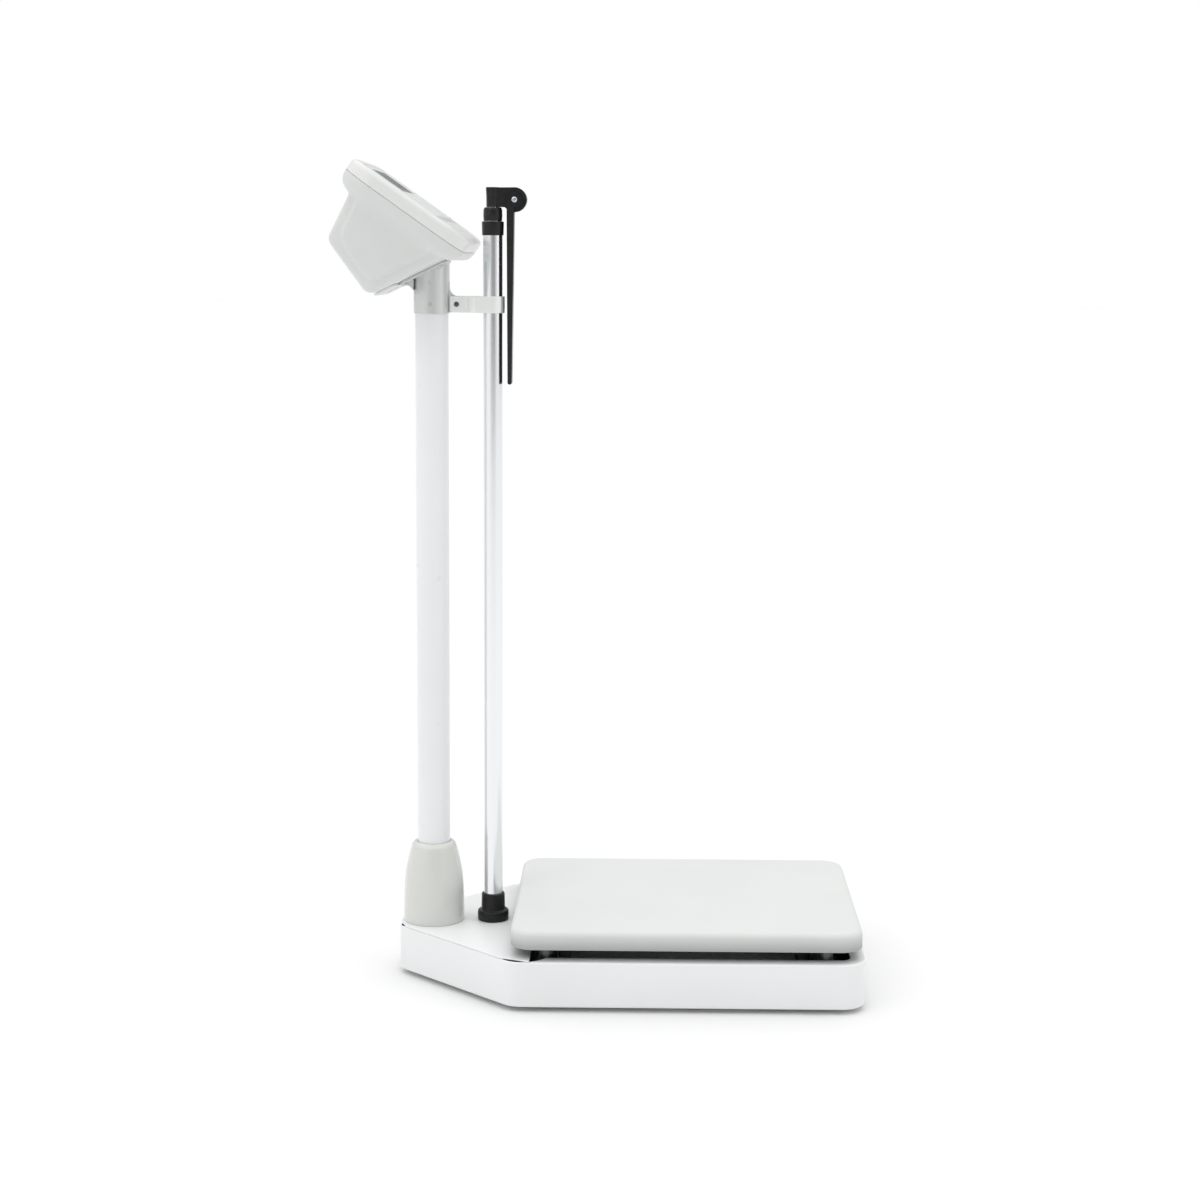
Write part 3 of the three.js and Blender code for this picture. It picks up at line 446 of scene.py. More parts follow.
def drawn_aluminium():
    """Anodised tube: fine lines along its length from the drawing die."""
    color = (0.86, 0.87, 0.885)
    surface = Surface("drawn_aluminium", color, 0.2, Metallic=1.0)
    lines = surface.noise(2400.0, 2.0, stretch=(1, 1, 0.002))
    surface.tint(lines, shade(color, 0.98), shade(color, 1.01))
    surface.polish(lines, 0.19, 0.22)
    surface.bump(lines, 0.0002)
    return surface.material


def machined_alloy():
    # Much darker than bare alloy: painted shade for the load cells in the dark under the platform.
    color = (0.16, 0.165, 0.175)
    surface = Surface("machined_alloy", color, 0.4, Metallic=1.0)
    lines = surface.noise(900.0, 3.0, stretch=(1, 0.02, 1))
    surface.tint(lines, shade(color, 0.85), color)
    surface.polish(lines, 0.28, 0.45)
    surface.bump(lines, 0.01)
    return surface.material


def zinc_plate():
    """Bright zinc on steel, slightly cloudy."""
    color = (0.6, 0.63, 0.66)
    surface = Surface("zinc_plate", color, 0.2, Metallic=1.0)
    surface.tint(surface.noise(350.0, 5.0), shade(color, 0.8), shade(color, 1.1))
    surface.polish(surface.noise(500.0, 4.0), 0.16, 0.36)
    surface.bump(surface.noise(1500.0, 2.0), 0.008)
    return surface.material


def silver_paint(name, color, roughness, metallic):
    """Paint with fine metal flake and a light orange peel."""
    surface = Surface(name, color, roughness, Metallic=metallic, Coat_Weight=0.4, Coat_Roughness=0.15)
    surface.tint(surface.noise(2600.0, 1.0), shade(color, 0.97), shade(color, 1.02))
    surface.polish(surface.noise(60.0, 4.0), roughness - 0.02, roughness + 0.03)
    surface.bump(surface.noise(700.0, 2.0), 0.002)
    return surface.material


def overlay_film():
    """Printed polyester film with a very fine matt emboss."""
    color = (0.80, 0.82, 0.82)
    surface = Surface("overlay_film", color, 0.32, Coat_Weight=0.5, Coat_Roughness=0.2)
    surface.tint(surface.noise(20.0, 3.0), shade(color, 0.98), shade(color, 1.01))
    surface.polish(surface.noise(220.0, 4.0), 0.26, 0.38)
    surface.bump(surface.noise(3000.0, 1.0), 0.008)
    return surface.material


def display_lens():
    """Clear smoked lens over a reflective grey liquid-crystal panel."""
    color = (0.18, 0.2, 0.195)
    surface = Surface("display_lens", color, 0.36, Specular_IOR_Level=0.12)
    surface.tint(surface.noise(30.0, 3.0), shade(color, 0.96), shade(color, 1.04))
    surface.polish(surface.noise(300.0, 3.0), 0.32, 0.4)
    surface.bump(surface.noise(20.0, 2.0), 0.002)
    return surface.material


def printed_ink(name, color):
    surface = Surface(name, color, 0.4)
    surface.tint(surface.noise(400.0, 3.0), shade(color, 0.9), shade(color, 1.1))
    surface.polish(surface.noise(500.0, 2.0), 0.35, 0.45)
    surface.bump(surface.noise(2500.0, 1.0), 0.005)
    return surface.material


def circuit_board():
    surface = Surface("circuit_board", (0.03, 0.16, 0.07), 0.35)
    tracks = surface.noise(240.0, 1.0, stretch=(1, 0.2, 1))
    surface.tint(tracks, (0.02, 0.12, 0.05), (0.05, 0.22, 0.1), 0.48, 0.52)
    surface.polish(tracks, 0.3, 0.4)
    surface.bump(tracks, 0.03)
    return surface.material


WHITE = powder_coat("white_powder_coat", (0.84, 0.85, 0.855), peel=0.012)
COLUMN_WHITE = powder_coat("column_powder_coat", (0.82, 0.835, 0.85), roughness=0.32, peel=0.008)
BLACK_PAINT = powder_coat("black_paint", (0.018, 0.018, 0.02), roughness=0.5, peel=0.05)
PLATFORM = platform_coat()
HEAD_PLASTIC = moulded_plastic("head_plastic", (0.665, 0.68, 0.67), 0.36, grain=0.012)
BEZEL_PLASTIC = moulded_plastic("bezel_plastic", (0.74, 0.75, 0.735), 0.32, grain=0.01)
COVER_PLASTIC = moulded_plastic("cover_plastic", (0.655, 0.665, 0.635), 0.24, grain=0.003, coat=0.5)
KEY_PLASTIC = moulded_plastic("key_plastic", (0.62, 0.64, 0.64), 0.4)
DARK_PLASTIC = moulded_plastic("dark_plastic", (0.03, 0.03, 0.032), 0.5)
BLACK = black_moulding()
RUBBER = black_rubber()
ALUMINIUM = drawn_aluminium()
ALLOY = machined_alloy()
ZINC = zinc_plate()
DARK_STEEL = silver_paint("dark_steel", (0.10, 0.105, 0.11), 0.4, 0.6)
BRACKET_PAINT = silver_paint("bracket_paint", (0.64, 0.655, 0.645), 0.32, 0.6)
STRAP_PAINT = silver_paint("strap_paint", (0.88, 0.895, 0.88), 0.22, 0.35)
OVERLAY = overlay_film()
LENS = display_lens()
INK = printed_ink("segment_ink", (0.10, 0.11, 0.107))
ICON_INK = printed_ink("icon_ink", (0.08, 0.11, 0.16))
BOARD = circuit_board()
CABLE = moulded_plastic("cable_jacket", (0.02, 0.02, 0.022), 0.5)


# ---- stage ----

CAMERA = {"place": (0.047, -2.52, 0.8373), "pitch": 7.909, "yaw": 0.082, "roll": 0.5, "lens": 65.65}
CAMERA_SHIFT = (-0.033, -0.03)


def add_camera():
    data = bpy.data.cameras.new("camera")
    data.lens = CAMERA["lens"]
    data.sensor_width = 36
    data.shift_x, data.shift_y = CAMERA_SHIFT
    camera = bpy.data.objects.new("camera", data)
    camera.location = CAMERA["place"]
    turns = ((CAMERA["yaw"], "Z"), (90 - CAMERA["pitch"], "X"), (CAMERA["roll"], "Z"))
    yaw, tilt, roll = [Matrix.Rotation(math.radians(angle), 4, axis) for angle, axis in turns]
    camera.rotation_euler = (yaw @ tilt @ roll).to_euler()
    bpy.context.scene.collection.objects.link(camera)
    bpy.context.scene.camera = camera


def add_softbox(name, place, target, size, power):
    data = bpy.data.lights.new(name, "AREA")
    data.shape = "RECTANGLE"
    data.size, data.size_y = size
    data.energy = power
    lamp = bpy.data.objects.new(name, data)
    lamp.location = place
    lamp.rotation_euler = (Vector(target) - Vector(place)).to_track_quat("-Z", "Y").to_euler()
    bpy.context.scene.collection.objects.link(lamp)


# Brightness of the studio's walls by direction, from its left (-1) to its right (1).
NEAR_WALL = [(-1.0, 0.95), (-0.6, 1.0), (-0.35, 0.6), (-0.1, 0.3), (0.45, 0.28), (0.7, 0.8), (1.0, 0.8)]
FAR_WALL = [(-1.0, 0.8), (0.0, 0.6), (1.0, 0.7)]
CEILING = 1.6
STUDIO_STRENGTH = 0.98
FLOOR_TONE = 0.855
FLOOR_REACH = 40  # metres from the middle to each side


def add_world():
    """A white studio: bright to both sides and overhead, dimmer behind the camera."""
    world = bpy.data.worlds.new("studio")
    bpy.context.scene.world = world
    world.use_nodes = True
    tree = world.node_tree
    tree.nodes.clear()

    def add(kind, **inputs):
        node = tree.nodes.new(kind)
        for key, value in inputs.items():
            socket = node.inputs[key.replace("_", " ")]
            if isinstance(value, bpy.types.NodeSocket):
                tree.links.new(value, socket)
            else:
                socket.default_value = value
        return node

    def fade(value, start, end):
        return add("ShaderNodeMapRange", Value=value, From_Min=start, From_Max=end).outputs["Result"]

    def wall(value, stops):
        ramp = add("ShaderNodeValToRGB", Fac=fade(value, -1.0, 1.0))
        elements = ramp.color_ramp.elements
        for place, _ in stops[1:-1]:
            elements.new((place + 1) / 2)
        for element, (place, light) in zip(elements, stops):
            element.position = (place + 1) / 2
            element.color = (light, light, light, 1)
        return ramp.outputs["Color"]

    def blend(factor, first, second):
        node = tree.nodes.new("ShaderNodeMix")
        node.data_type = "RGBA"
        tree.links.new(factor, node.inputs[0])
        for socket, value in ((node.inputs[6], first), (node.inputs[7], second)):
            if isinstance(value, bpy.types.NodeSocket):
                tree.links.new(value, socket)
            else:
                socket.default_value = value
        return node.outputs[2]

    axes = add("ShaderNodeSeparateXYZ", Vector=tree.nodes.new("ShaderNodeTexCoord").outputs["Generated"])
    x, y, z = axes.outputs
    walls = blend(fade(y, -0.15, 0.25), wall(x, NEAR_WALL), wall(x, FAR_WALL))
    room = blend(fade(z, 0.4, 0.85), walls, (CEILING, CEILING, CEILING, 1))
    lighting = add("ShaderNodeBackground", Color=room, Strength=STUDIO_STRENGTH)
    backdrop = add("ShaderNodeBackground", Color=(1, 1, 1, 1), Strength=1.0)
    mix = add("ShaderNodeMixShader", Fac=tree.nodes.new("ShaderNodeLightPath").outputs["Is Camera Ray"])
    tree.links.new(lighting.outputs["Background"], mix.inputs[1])
    tree.links.new(backdrop.outputs["Background"], mix.inputs[2])
    add("ShaderNodeOutputWorld", Surface=mix.outputs["Shader"])


def add_floor():
    """A pale floor that reaches far past the view."""
    mesh = bmesh.new()
    bmesh.ops.create_grid(mesh, x_segments=1, y_segments=1, size=FLOOR_REACH)
    floor = to_object(mesh, "floor")
    surface = Surface("pale_floor", (FLOOR_TONE,) * 3, 0.7, Specular_IOR_Level=0.2)
    surface.tint(surface.noise(0.8, 2.0), (FLOOR_TONE - 0.005,) * 3, (FLOOR_TONE + 0.005,) * 3)
    floor.data.materials.append(surface.material)


def add_stage():
    add_camera()
    add_world()
    add_softbox("key_light", (-1.5, -1.9, 2.3), (-0.1, 0, 0.5), (0.6, 0.9), 4)
    add_softbox("right_light", (2.2, -0.9, 1.6), (0, 0, 0.5), (0.5, 1.6), 2)
    add_floor()
    bpy.context.scene.view_settings.view_transform = "Standard"


# ---- base ----

SHEET = 1.5
RIM_WIDTH = 18
LIP_WIDTH = 40
BEND_RADIUS = 2.4
DECK_FRONT = high("deck_plate").x
DECK_GAP = 0.6
DECK_CUTS = {2: 18, 3: 10, 4: 10, 5: 18}  # how far along its sides each of the base's corners is cut
DECK_CUT_RADIUS = 4
BASE_LOW, BASE_HIGH = low("base_tray"), high("base_tray")
TAPER_START = -97
TAIL_HALF_WIDTH = 25
BASE_CORNERS = [
    (BASE_HIGH.x, BASE_LOW.y, 29),
    (BASE_HIGH.x, BASE_HIGH.y, 29),
    (TAPER_START, BASE_HIGH.y, 31),
    (BASE_LOW.x, TAIL_HALF_WIDTH, 11),
    (BASE_LOW.x, -TAIL_HALF_WIDTH, 11),
    (TAPER_START, BASE_LOW.y, 31),
]


def tray_section():
    """Section (inset, z) of the folded wall, with its bends at the rim above and the lip below."""
    bottom, top = BASE_LOW.z, BASE_HIGH.z
    inner = BEND_RADIUS - SHEET
    corners = [
        (LIP_WIDTH, bottom), (0, bottom, BEND_RADIUS), (0, top, BEND_RADIUS), (RIM_WIDTH, top, 0.5),
        (RIM_WIDTH, top - SHEET, 0.5), (SHEET, top - SHEET, inner), (SHEET, bottom + SHEET, inner),
        (LIP_WIDTH, bottom + SHEET),
    ]
    return filleted(corners, math.radians(18))


def rim_notch(i):
    """The rim isn't bent round the tail's corners: a disc inside each arc clears it away."""
    point, _, _, half, inward = corner_shape(BASE_CORNERS, i)
    centre = point + inward * BASE_CORNERS[i][2] / math.sin(half)
    radius = BASE_CORNERS[i][2] - SHEET
    bottom, top = BASE_HIGH.z - 2 * SHEET, BASE_HIGH.z + 2
    disc = lathe([(0, bottom), (radius, bottom), (radius, top), (0, top)])
    return shifted(disc, centre.x, centre.y)


def add_tray():
    section = tray_section()
    tray = skin([level(filleted(inset(BASE_CORNERS, p.x)), p.y) for p in section], wrap=True)
    tray = cut(tray, *[rim_notch(i) for i in (2, 3, 4, 5)])
    sheet = piece("base_tray_sheet", tray, "stand", WHITE, ["base_tray"])
    blacken_inside(sheet)


def blacken_inside(sheet):
    """Paints the tray black inside as painted shade: its wall, the top of its lip and the underside of its
    rim.
    """
    # Painted shade: black stands in for the shade inside the tray, seen through the gap and the corner
    # slits.
    sheet.data.materials.append(BLACK_PAINT)
    centre = Vector((middle("platform_cover").x, 0, 0)) * MM
    for face in sheet.data.polygons:
        toward = centre - face.center
        inward = Vector((toward.x, toward.y)).normalized().dot(face.normal.xy) > 0.3
        lip = face.normal.z > 0.5 and face.center.z < (BASE_LOW.z + 2 * SHEET) * MM
        under_rim = face.normal.z < -0.5 and face.center.z > (BASE_HIGH.z - 2 * SHEET) * MM
        if inward or lip or under_rim:
            face.material_index = 1


def cut_corner(corners, i, distance):
    """A polygon's corner cut off straight, at a distance along each of its sides."""
    point, back, ahead, _, _ = corner_shape(corners, i)
    return [(*(point + way * distance), DECK_CUT_RADIUS) for way in (back, ahead)]


def add_deck():
    """Deck plate whose cut corners leave a slit at each, with its upper edge eased."""
    bottom, top = low("deck_plate").z, high("deck_plate").z
    outline = inset(BASE_CORNERS, DECK_GAP)
    corners = [(DECK_FRONT, outline[0][1], 1.5), (DECK_FRONT, outline[1][1], 1.5)]
    for i, distance in DECK_CUTS.items():
        corners += cut_corner(outline, i, distance)
    deck = stacked(corners, [(bottom, 0), *rounded_edge(top, 0.5, 4)])
    hole = shifted(lathe([(0, bottom - 3), (8, bottom - 3), (8, top + 3), (0, top + 3)]), COLUMN_X)
    piece("deck_sheet", cut(deck, hole), "stand", WHITE, ["deck_plate"])


def add_feet():
    for node in [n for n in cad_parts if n.startswith("foot_")]:
        centre, top = middle(node), high(node).z
        radius = (high(node) - low(node)).x / 2
        profile = filleted_path([
            (0, 0.8), (radius - 5, 0.8), (radius - 4.4, 0), (radius - 0.8, 0, 0.6), (radius, top, 1.2),
            (0, top),
        ])
        foot = shifted(lathe([(p.x, p.y) for p in profile], 48), centre.x, centre.y)
        piece(f"{node}_pad", foot, "stand", RUBBER, [node])


def add_base():
    add_tray()
    add_deck()
    add_feet()
    for end in ("rear", "front"):
        finish_node(f"cross_channel_{end}", BLACK_PAINT, bevel=0.6)
        for hand in ("right", "left"):
            # The load cells and pads get dark finishes as painted shade under the platform.
            finish_node(f"load_cell_{end}_{hand}", ALLOY, bevel=0.5)
            finish_node(f"load_pad_{end}_{hand}", DARK_STEEL, bevel=0.3)
    finish_node("junction_box", DARK_PLASTIC, bevel=1.5)


# ---- platform ----

PLATFORM_EDGE = 6
PLATFORM_CORNER = 26
PLATFORM_SHEET = 1.5


def add_platform():
    """A folded cover with a rounded top edge, hollow below."""
    start, end = low("platform_cover"), high("platform_cover")
    corners = rectangle(start.x, end.x, start.y, end.y, PLATFORM_CORNER)
    outside = [(start.z + 0.4, 0.3), (start.z + 0.8, 0.0), *rounded_edge(end.z, PLATFORM_EDGE, 10)]
    hollow_top = rounded_edge(end.z - PLATFORM_SHEET, PLATFORM_EDGE - PLATFORM_SHEET, 6)
    inside = [(z, d + PLATFORM_SHEET) for z, d in reversed(hollow_top)]
    levels = [*outside, *inside, (start.z, PLATFORM_SHEET)]
    loops = [level(filleted(inset(corners, d)), z) for z, d in levels]
    split = len(outside)
    cover = skin([*reversed(loops[:split]), *reversed(loops[split:])])
    piece("platform_cover_sheet", cover, "platform", PLATFORM, ["platform_cover"])
    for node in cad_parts:
        if node.startswith(("platform_rail", "platform_crossbar")):
            finish_node(node, BLACK_PAINT, bevel=1.5)


# ---- column ----


def screw_holes(radius):
    """Bars that drill the sleeve and the column for the two radial screws."""
    places = [middle(f"sleeve_screw_{end}") for end in ("lower", "upper")]
    return [cross_bar(radius, COLUMN_X, p.z, -24, -12) for p in places]


def add_column():
    bottom, top = low("column_tube").z, high("column_tube").z
    tube = lathe([(17.6, bottom), (19, bottom), (19, top), (17.6, top)])
    tube = cut(shifted(tube, COLUMN_X), *screw_holes(1.8))
    piece("column", tube, "stand", COLUMN_WHITE, ["column_tube"])
    add_pillar_cover()
    finish_node("column_socket", ZINC, bevel=0.4)
    finish_node("signal_cable", CABLE)


COVER_RADII = [(35.7, 60), (35.5, 80), (35.1, 98), (33.9, 115), (31.2, 131), (27.1, 148)]


def smooth_through(points, steps=6):
    """A Catmull-Rom curve through (radius, z) points."""
    ends = [points[0], *points, points[-1]]
    curve = []
    for a, b, c, d in zip(ends, ends[1:], ends[2:], ends[3:]):
        a, b, c, d = map(Vector, (a, b, c, d))
        for k in range(steps):
            t = k / steps
            curve.append(0.5 * (2 * b + (c - a) * t + (2 * a - 5 * b + 4 * c - d) * t * t
                                + (3 * b - a - 3 * c + d) * t ** 3))
    return [*curve, Vector(points[-1])]


def add_pillar_cover():
    """The bell-shaped cover, with a rounded shoulder that turns in to the column."""
    top = high("pillar_cover").z
    outer = smooth_through([(35.7, DECK_TOP + 0.3), *COVER_RADII[1:]])
    shoulder = smooth_through([(27.1, 148), (25.7, 151.6), (23.4, 154.3), (21, top), (19.5, top - 0.3)], 5)
    inner = [Vector((19.5, top - 6)), *[Vector((p.x - 2.2, p.y)) for p in reversed(outer)][2:]]
    profile = [(p.x, p.y) for p in [*outer, *shoulder[1:], *inner]]
    cover = shifted(lathe(profile), COLUMN_X)
    piece("pillar_cover_shell", cover, "stand", COVER_PLASTIC, ["pillar_cover"])


# ---- height rod ----


def turned_piece(name, node, corners, body, material, closed=True):
    """A turned part about the height rod's axis that stands for a CAD node."""
    points = filleted(corners, math.radians(12)) if closed else filleted_path(corners)
    mesh = shifted(lathe([(p.x, p.y) for p in points]), ROD_X)
    return piece(name, mesh, body, material, [node])


def add_rod_foot():
    bottom, top = low("rod_foot").z, high("rod_foot").z
    turned_piece("rod_foot_moulding", "rod_foot", [
        (0, bottom), (18.1, bottom, 0.6), (18.4, bottom + 6, 3), (18.1, 72.6, 2.6), (13.9, 72.2, 1.4),
        (13.6, top, 1.7), (11.4, top, 0.5), (11.4, bottom + 4), (0, bottom + 4),
    ], "stand", RUBBER, closed=False)


GUIDE_HEIGHT = 12  # of the thicker ring at the bottom of each inner stage


def add_tubes():
    bottom, top = low("outer_tube").z, high("outer_tube").z
    tube = [(9.9, bottom, 0.2), (11.1, bottom, 0.3), (11.1, top, 0.3), (9.9, top, 0.2)]
    turned_piece("outer_tube_drawn", "outer_tube", tube, "stand", ALUMINIUM)
    bottom, top = low("middle_tube").z, high("middle_tube").z
    stage = [(8.3, bottom), (9.75, bottom, 0.4), (9.75, bottom + GUIDE_HEIGHT, 0.4),
             (9.5, bottom + GUIDE_HEIGHT + 0.4), (9.5, top), (8.3, top)]
    turned_piece("middle_tube_drawn", "middle_tube", stage, "middle_stage", ALUMINIUM)
    bottom, top = low("inner_rod").z, high("inner_rod").z
    rod = [(0, bottom), (8, bottom, 0.4), (8, bottom + GUIDE_HEIGHT, 0.4),
           (6.35, bottom + GUIDE_HEIGHT + 0.6), (6.35, top), (0, top)]
    turned_piece("inner_rod_drawn", "inner_rod", rod, "inner_stage", ALUMINIUM, closed=False)


def add_collars():
    bottom, top = low("lower_collar").z, high("lower_collar").z
    seat = high("outer_tube").z + 0.3
    turned_piece("lower_collar_moulding", "lower_collar", [
        (11.4, bottom, 0.3), (12.2, bottom, 0.5), (12.3, bottom + 3, 6), (12.6, top - 2.5, 4),
        (12.4, top, 1.0), (9.8, top, 0.4), (9.8, seat), (11.4, seat),
    ], "stand", BLACK)
    bottom, top = low("upper_collar").z, high("upper_collar").z
    seat = high("middle_tube").z + 0.3
    turned_piece("upper_collar_moulding", "upper_collar", [
        (9.8, bottom, 0.3), (10.5, bottom, 0.5), (10.9, bottom + 6, 10), (10.7, top - 3, 3), (9.6, top, 1.4),
        (6.65, top, 0.3), (6.65, seat), (9.8, seat),
    ], "middle_stage", BLACK)


HINGE_HALF_WIDTH = 6.2
KNUCKLE_RADIUS = 13.9
CHEEK = {"inner": 6.5, "outer": 9.8, "radius": 8.8}


def stop_sector():
    """A quarter ring at the top front of the knuckle that stops the cheeks at a right angle."""
    inner, half_width = CHEEK["radius"] + 0.5, CHEEK["outer"] - 0.8
    angles = [math.radians(2 + 86 * k / 18) for k in range(19)]
    outer = [Vector((math.cos(a), math.sin(a))) * KNUCKLE_RADIUS for a in angles]
    ring = outer + [Vector((math.cos(a), math.sin(a))) * inner for a in reversed(angles)]
    return shifted(sideways(ring, -half_width, half_width), PIVOT.x, 0, PIVOT.z)


def add_hinge_block():
    bottom, top = high("upper_collar").z + 0.3, high("hinge_block").z
    socket = lathe([(p.x, p.y) for p in filleted_path([
        (0, bottom), (7.4, bottom, 0.3), (7.5, bottom + 12, 20), (8.0, top, 0.5), (6.9, top, 0.3),
        (6.7, top - 1.5), (0, top - 1.5),
    ])])
    side = [Vector(p) for p in ((ROD_X, bottom), (PIVOT.x, bottom), (PIVOT.x, top), (ROD_X, top - 0.4))]
    arm = sideways(side, -HINGE_HALF_WIDTH, HINGE_HALF_WIDTH)
    knuckle = cross_bar(KNUCKLE_RADIUS, PIVOT.x, PIVOT.z, -HINGE_HALF_WIDTH, HINGE_HALF_WIDTH, ROUND)
    pocket = shifted(lathe([(0, bottom - 2), (6.65, bottom - 2), (6.65, 911.3), (0, 911.3)]), ROD_X)
    pin = cross_bar(2.5, PIVOT.x, PIVOT.z, -20, 20)
    block_mesh = joined(shifted(socket, ROD_X), arm, knuckle, stop_sector())
    piece("hinge_block_moulding", cut(block_mesh, pocket, pin), "inner_stage", BLACK,
          ["hinge_block"], bevel=0.4)


def add_headpiece():
    """Cheeks that straddle the knuckle, each with a dished hub, above a long tapering blade."""
    rear, front = PIVOT.x - CHEEK["radius"], PIVOT.x - 0.5
    blade_top = 889.2
    blade = sideways(filleted([
        (front, blade_top), (rear, blade_top), (-109.7, 694.6, 2.2), (-104.9, 694.6, 2.2),
    ]), -CHEEK["outer"], CHEEK["outer"])
    solids = []
    dishes = []
    for side in (-1, 1):
        near, far = sorted((side * CHEEK["inner"], side * CHEEK["outer"]))
        solids.append(cross_bar(CHEEK["radius"], PIVOT.x, PIVOT.z, near, far, ROUND))
        solids.append(block(rear, front, near, far, blade_top - 1, PIVOT.z))
        near, far = sorted((side * (CHEEK["outer"] - 0.5), side * (CHEEK["outer"] + 1)))
        dishes.append(cross_bar(7.3, PIVOT.x, PIVOT.z, near, far, ROUND))
    pin = cross_bar(2.5, PIVOT.x, PIVOT.z, -20, 20)
    piece("headpiece_moulding", cut(joined(blade, *solids), pin, *dishes), "headpiece", BLACK,
          ["headpiece"], bevel=0.4)


def screw_mesh(radius, height, shank, length):
    """A pan-head screw on z = 0 with a cross recess, its shank reaching down to -length."""
    rim = 0.35 * height
    dome = [math.radians(90 * k / 8) for k in range(9)]
    profile = [(0, -length), (shank, -length), (shank, 0), (radius, 0)]
    profile += [(radius * math.cos(a), rim + (height - rim) * math.sin(a)) for a in dome[:-1]]
    screw = lathe([*profile, (0, height)], SMALL_ROUND)
    wing, half, depth = 0.66 * radius, 0.15 * radius, 0.15 * height
    return cut(screw, block(-wing, wing, -half, half, depth, height + 1),
               block(-half, half, -wing, wing, depth, height + 1))


def add_screw(node, frame_matrix, body, material, head, shank, length):
    radius, height = head
    mesh = moved(screw_mesh(radius, height, shank, length), frame_matrix)
    piece(f"{node}_cross", mesh, body, material, [node], smooth=40)


def add_height_rod():
    add_rod_foot()
    add_tubes()
    add_collars()
    add_hinge_block()
    add_headpiece()
    finish_node("pivot_nut", ZINC, bevel=0.2)
    face = low("headpiece").y + 0.2
    length = high("pivot_screw").y - face
    add_screw("pivot_screw", Matrix.Translation((PIVOT.x, face, PIVOT.z)) @ FACING_FRONT, "inner_stage",
              ZINC, (3.4, 2.3), 2.2, length)


# ---- bracket ----


SLEEVE_RADIUS = 20.5
SLEEVE_BORE = 19.3
SLEEVE_BLANK_TOP = 860  # the sleeve's top before it is cut to the head's slope
STRAP_HOLE_RADIUS = 2.1
FLANGE = {"rear": -29.7, "front": 30.5, "half_width": 30, "radius": 6, "thickness": 3.3}
FLANGE_SCREW_PLACES = [(x, side * 24) for x in (-24.5, 21) for side in (-1, 1)]
TAB = {"front": -157, "bottom": 776.2, "top": 794.6, "half_width": 4}


def above_underside():
    """Everything above the flange's upper face."""
    return moved(block(-90, 90, -90, 90, -0.3, 90), UNDERSIDE_FRAME)


def add_head_bracket():
    """A sleeve cut to the head's slope, its flange, the tab for the strap and a rear gusset."""
    bottom = low("head_bracket").z
    section = [(SLEEVE_BORE, bottom), (SLEEVE_RADIUS, bottom), (SLEEVE_RADIUS, SLEEVE_BLANK_TOP),
               (SLEEVE_BORE, SLEEVE_BLANK_TOP)]
    sleeve = shifted(lathe(section), COLUMN_X)
    half_width = FLANGE["half_width"]
    outline = rectangle(FLANGE["rear"], FLANGE["front"], -half_width, half_width, FLANGE["radius"])
    plate_bottom = -0.3 - FLANGE["thickness"]
    levels = [(plate_bottom, 0.5), (plate_bottom + 0.5, 0), *rounded_edge(-0.3, 0.6, 4)]
    plate = moved(stacked(outline, levels), UNDERSIDE_FRAME)
    front = COLUMN_X + SLEEVE_RADIUS
    tab = sideways(filleted([
        (front - 1, TAB["bottom"]), (TAB["front"], TAB["bottom"]), (TAB["front"], TAB["top"]),
        (front, TAB["top"], 10), (front, TAB["top"] + 16), (front - 1, TAB["top"] + 16),
    ]), -TAB["half_width"], TAB["half_width"])
    rear = COLUMN_X - SLEEVE_RADIUS
    web = [Vector(p) for p in ((rear + 1, 801), (rear + 1, 818), (rear - 7, 815), (rear - 7, 809))]
    gusset = sideways(web, -12, 12)
    cable_hole = shifted(lathe([(0, 770), (8, 770), (8, 870), (0, 870)]), COLUMN_X)
    strap_hole = cross_bar(STRAP_HOLE_RADIUS, middle("strap_screw").x, middle("strap_screw").z, -8, 8)
    holes = [moved(round_hole(x, y, 2.3, -8, 2), UNDERSIDE_FRAME) for x, y in FLANGE_SCREW_PLACES]
    pipe = cut(sleeve, above_underside())
    body = cut(joined(pipe, plate, tab, cut(gusset, above_underside())), cable_hole, strap_hole, *holes,
               *screw_holes(1.8))
    piece("head_bracket_fabricated", body, "stand", BRACKET_PAINT, ["head_bracket"],
          bevel=0.35)


def add_strap():
    """The band: it grips the tab, opens out and wraps round the rod."""
    rear, bottom, top = low("rod_strap").x, low("rod_strap").z, high("rod_strap").z

    def side(y, reach, bend):
        return [
            (rear, -y), (-157, -y, bend), (-147, -reach, bend), (ROD_X + reach, -reach, reach - 0.1),
            (ROD_X + reach, reach, reach - 0.1), (-147, reach, bend), (-157, y, bend), (rear, y),
        ]

    outline = filleted([*side(6.3, 13.6, 3), *reversed(side(4.3, 11.6, 4))])
    hole = cross_bar(STRAP_HOLE_RADIUS, middle("strap_screw").x, middle("strap_screw").z, -10, 10)
    piece("rod_strap_band", cut(prism(outline, bottom, top), hole), "stand", STRAP_PAINT,
          ["rod_strap"], bevel=0.45)


def add_sleeve_screws():
    """Grub screws in the sleeve: the upper one sits in a raised ring, the lower one in a dimple."""
    face = -SLEEVE_RADIUS - 0.1
    for end, radius in (("lower", 1.5), ("upper", 2.6)):
        place = middle(f"sleeve_screw_{end}")
        ring = lathe([(0, -5), (1.4, -5), (1.4, 0), (radius, 0), (radius, 0.55), (radius - 0.25, 0.8),
                      (0.62 * radius, 0.8), (0.55 * radius, 0.25), (0, 0.25)], SMALL_ROUND)
        matrix = Matrix.Translation((COLUMN_X, face, place.z)) @ FACING_FRONT
        piece(f"sleeve_screw_{end}_ring", moved(ring, matrix), "stand", BRACKET_PAINT,
              [f"sleeve_screw_{end}"])


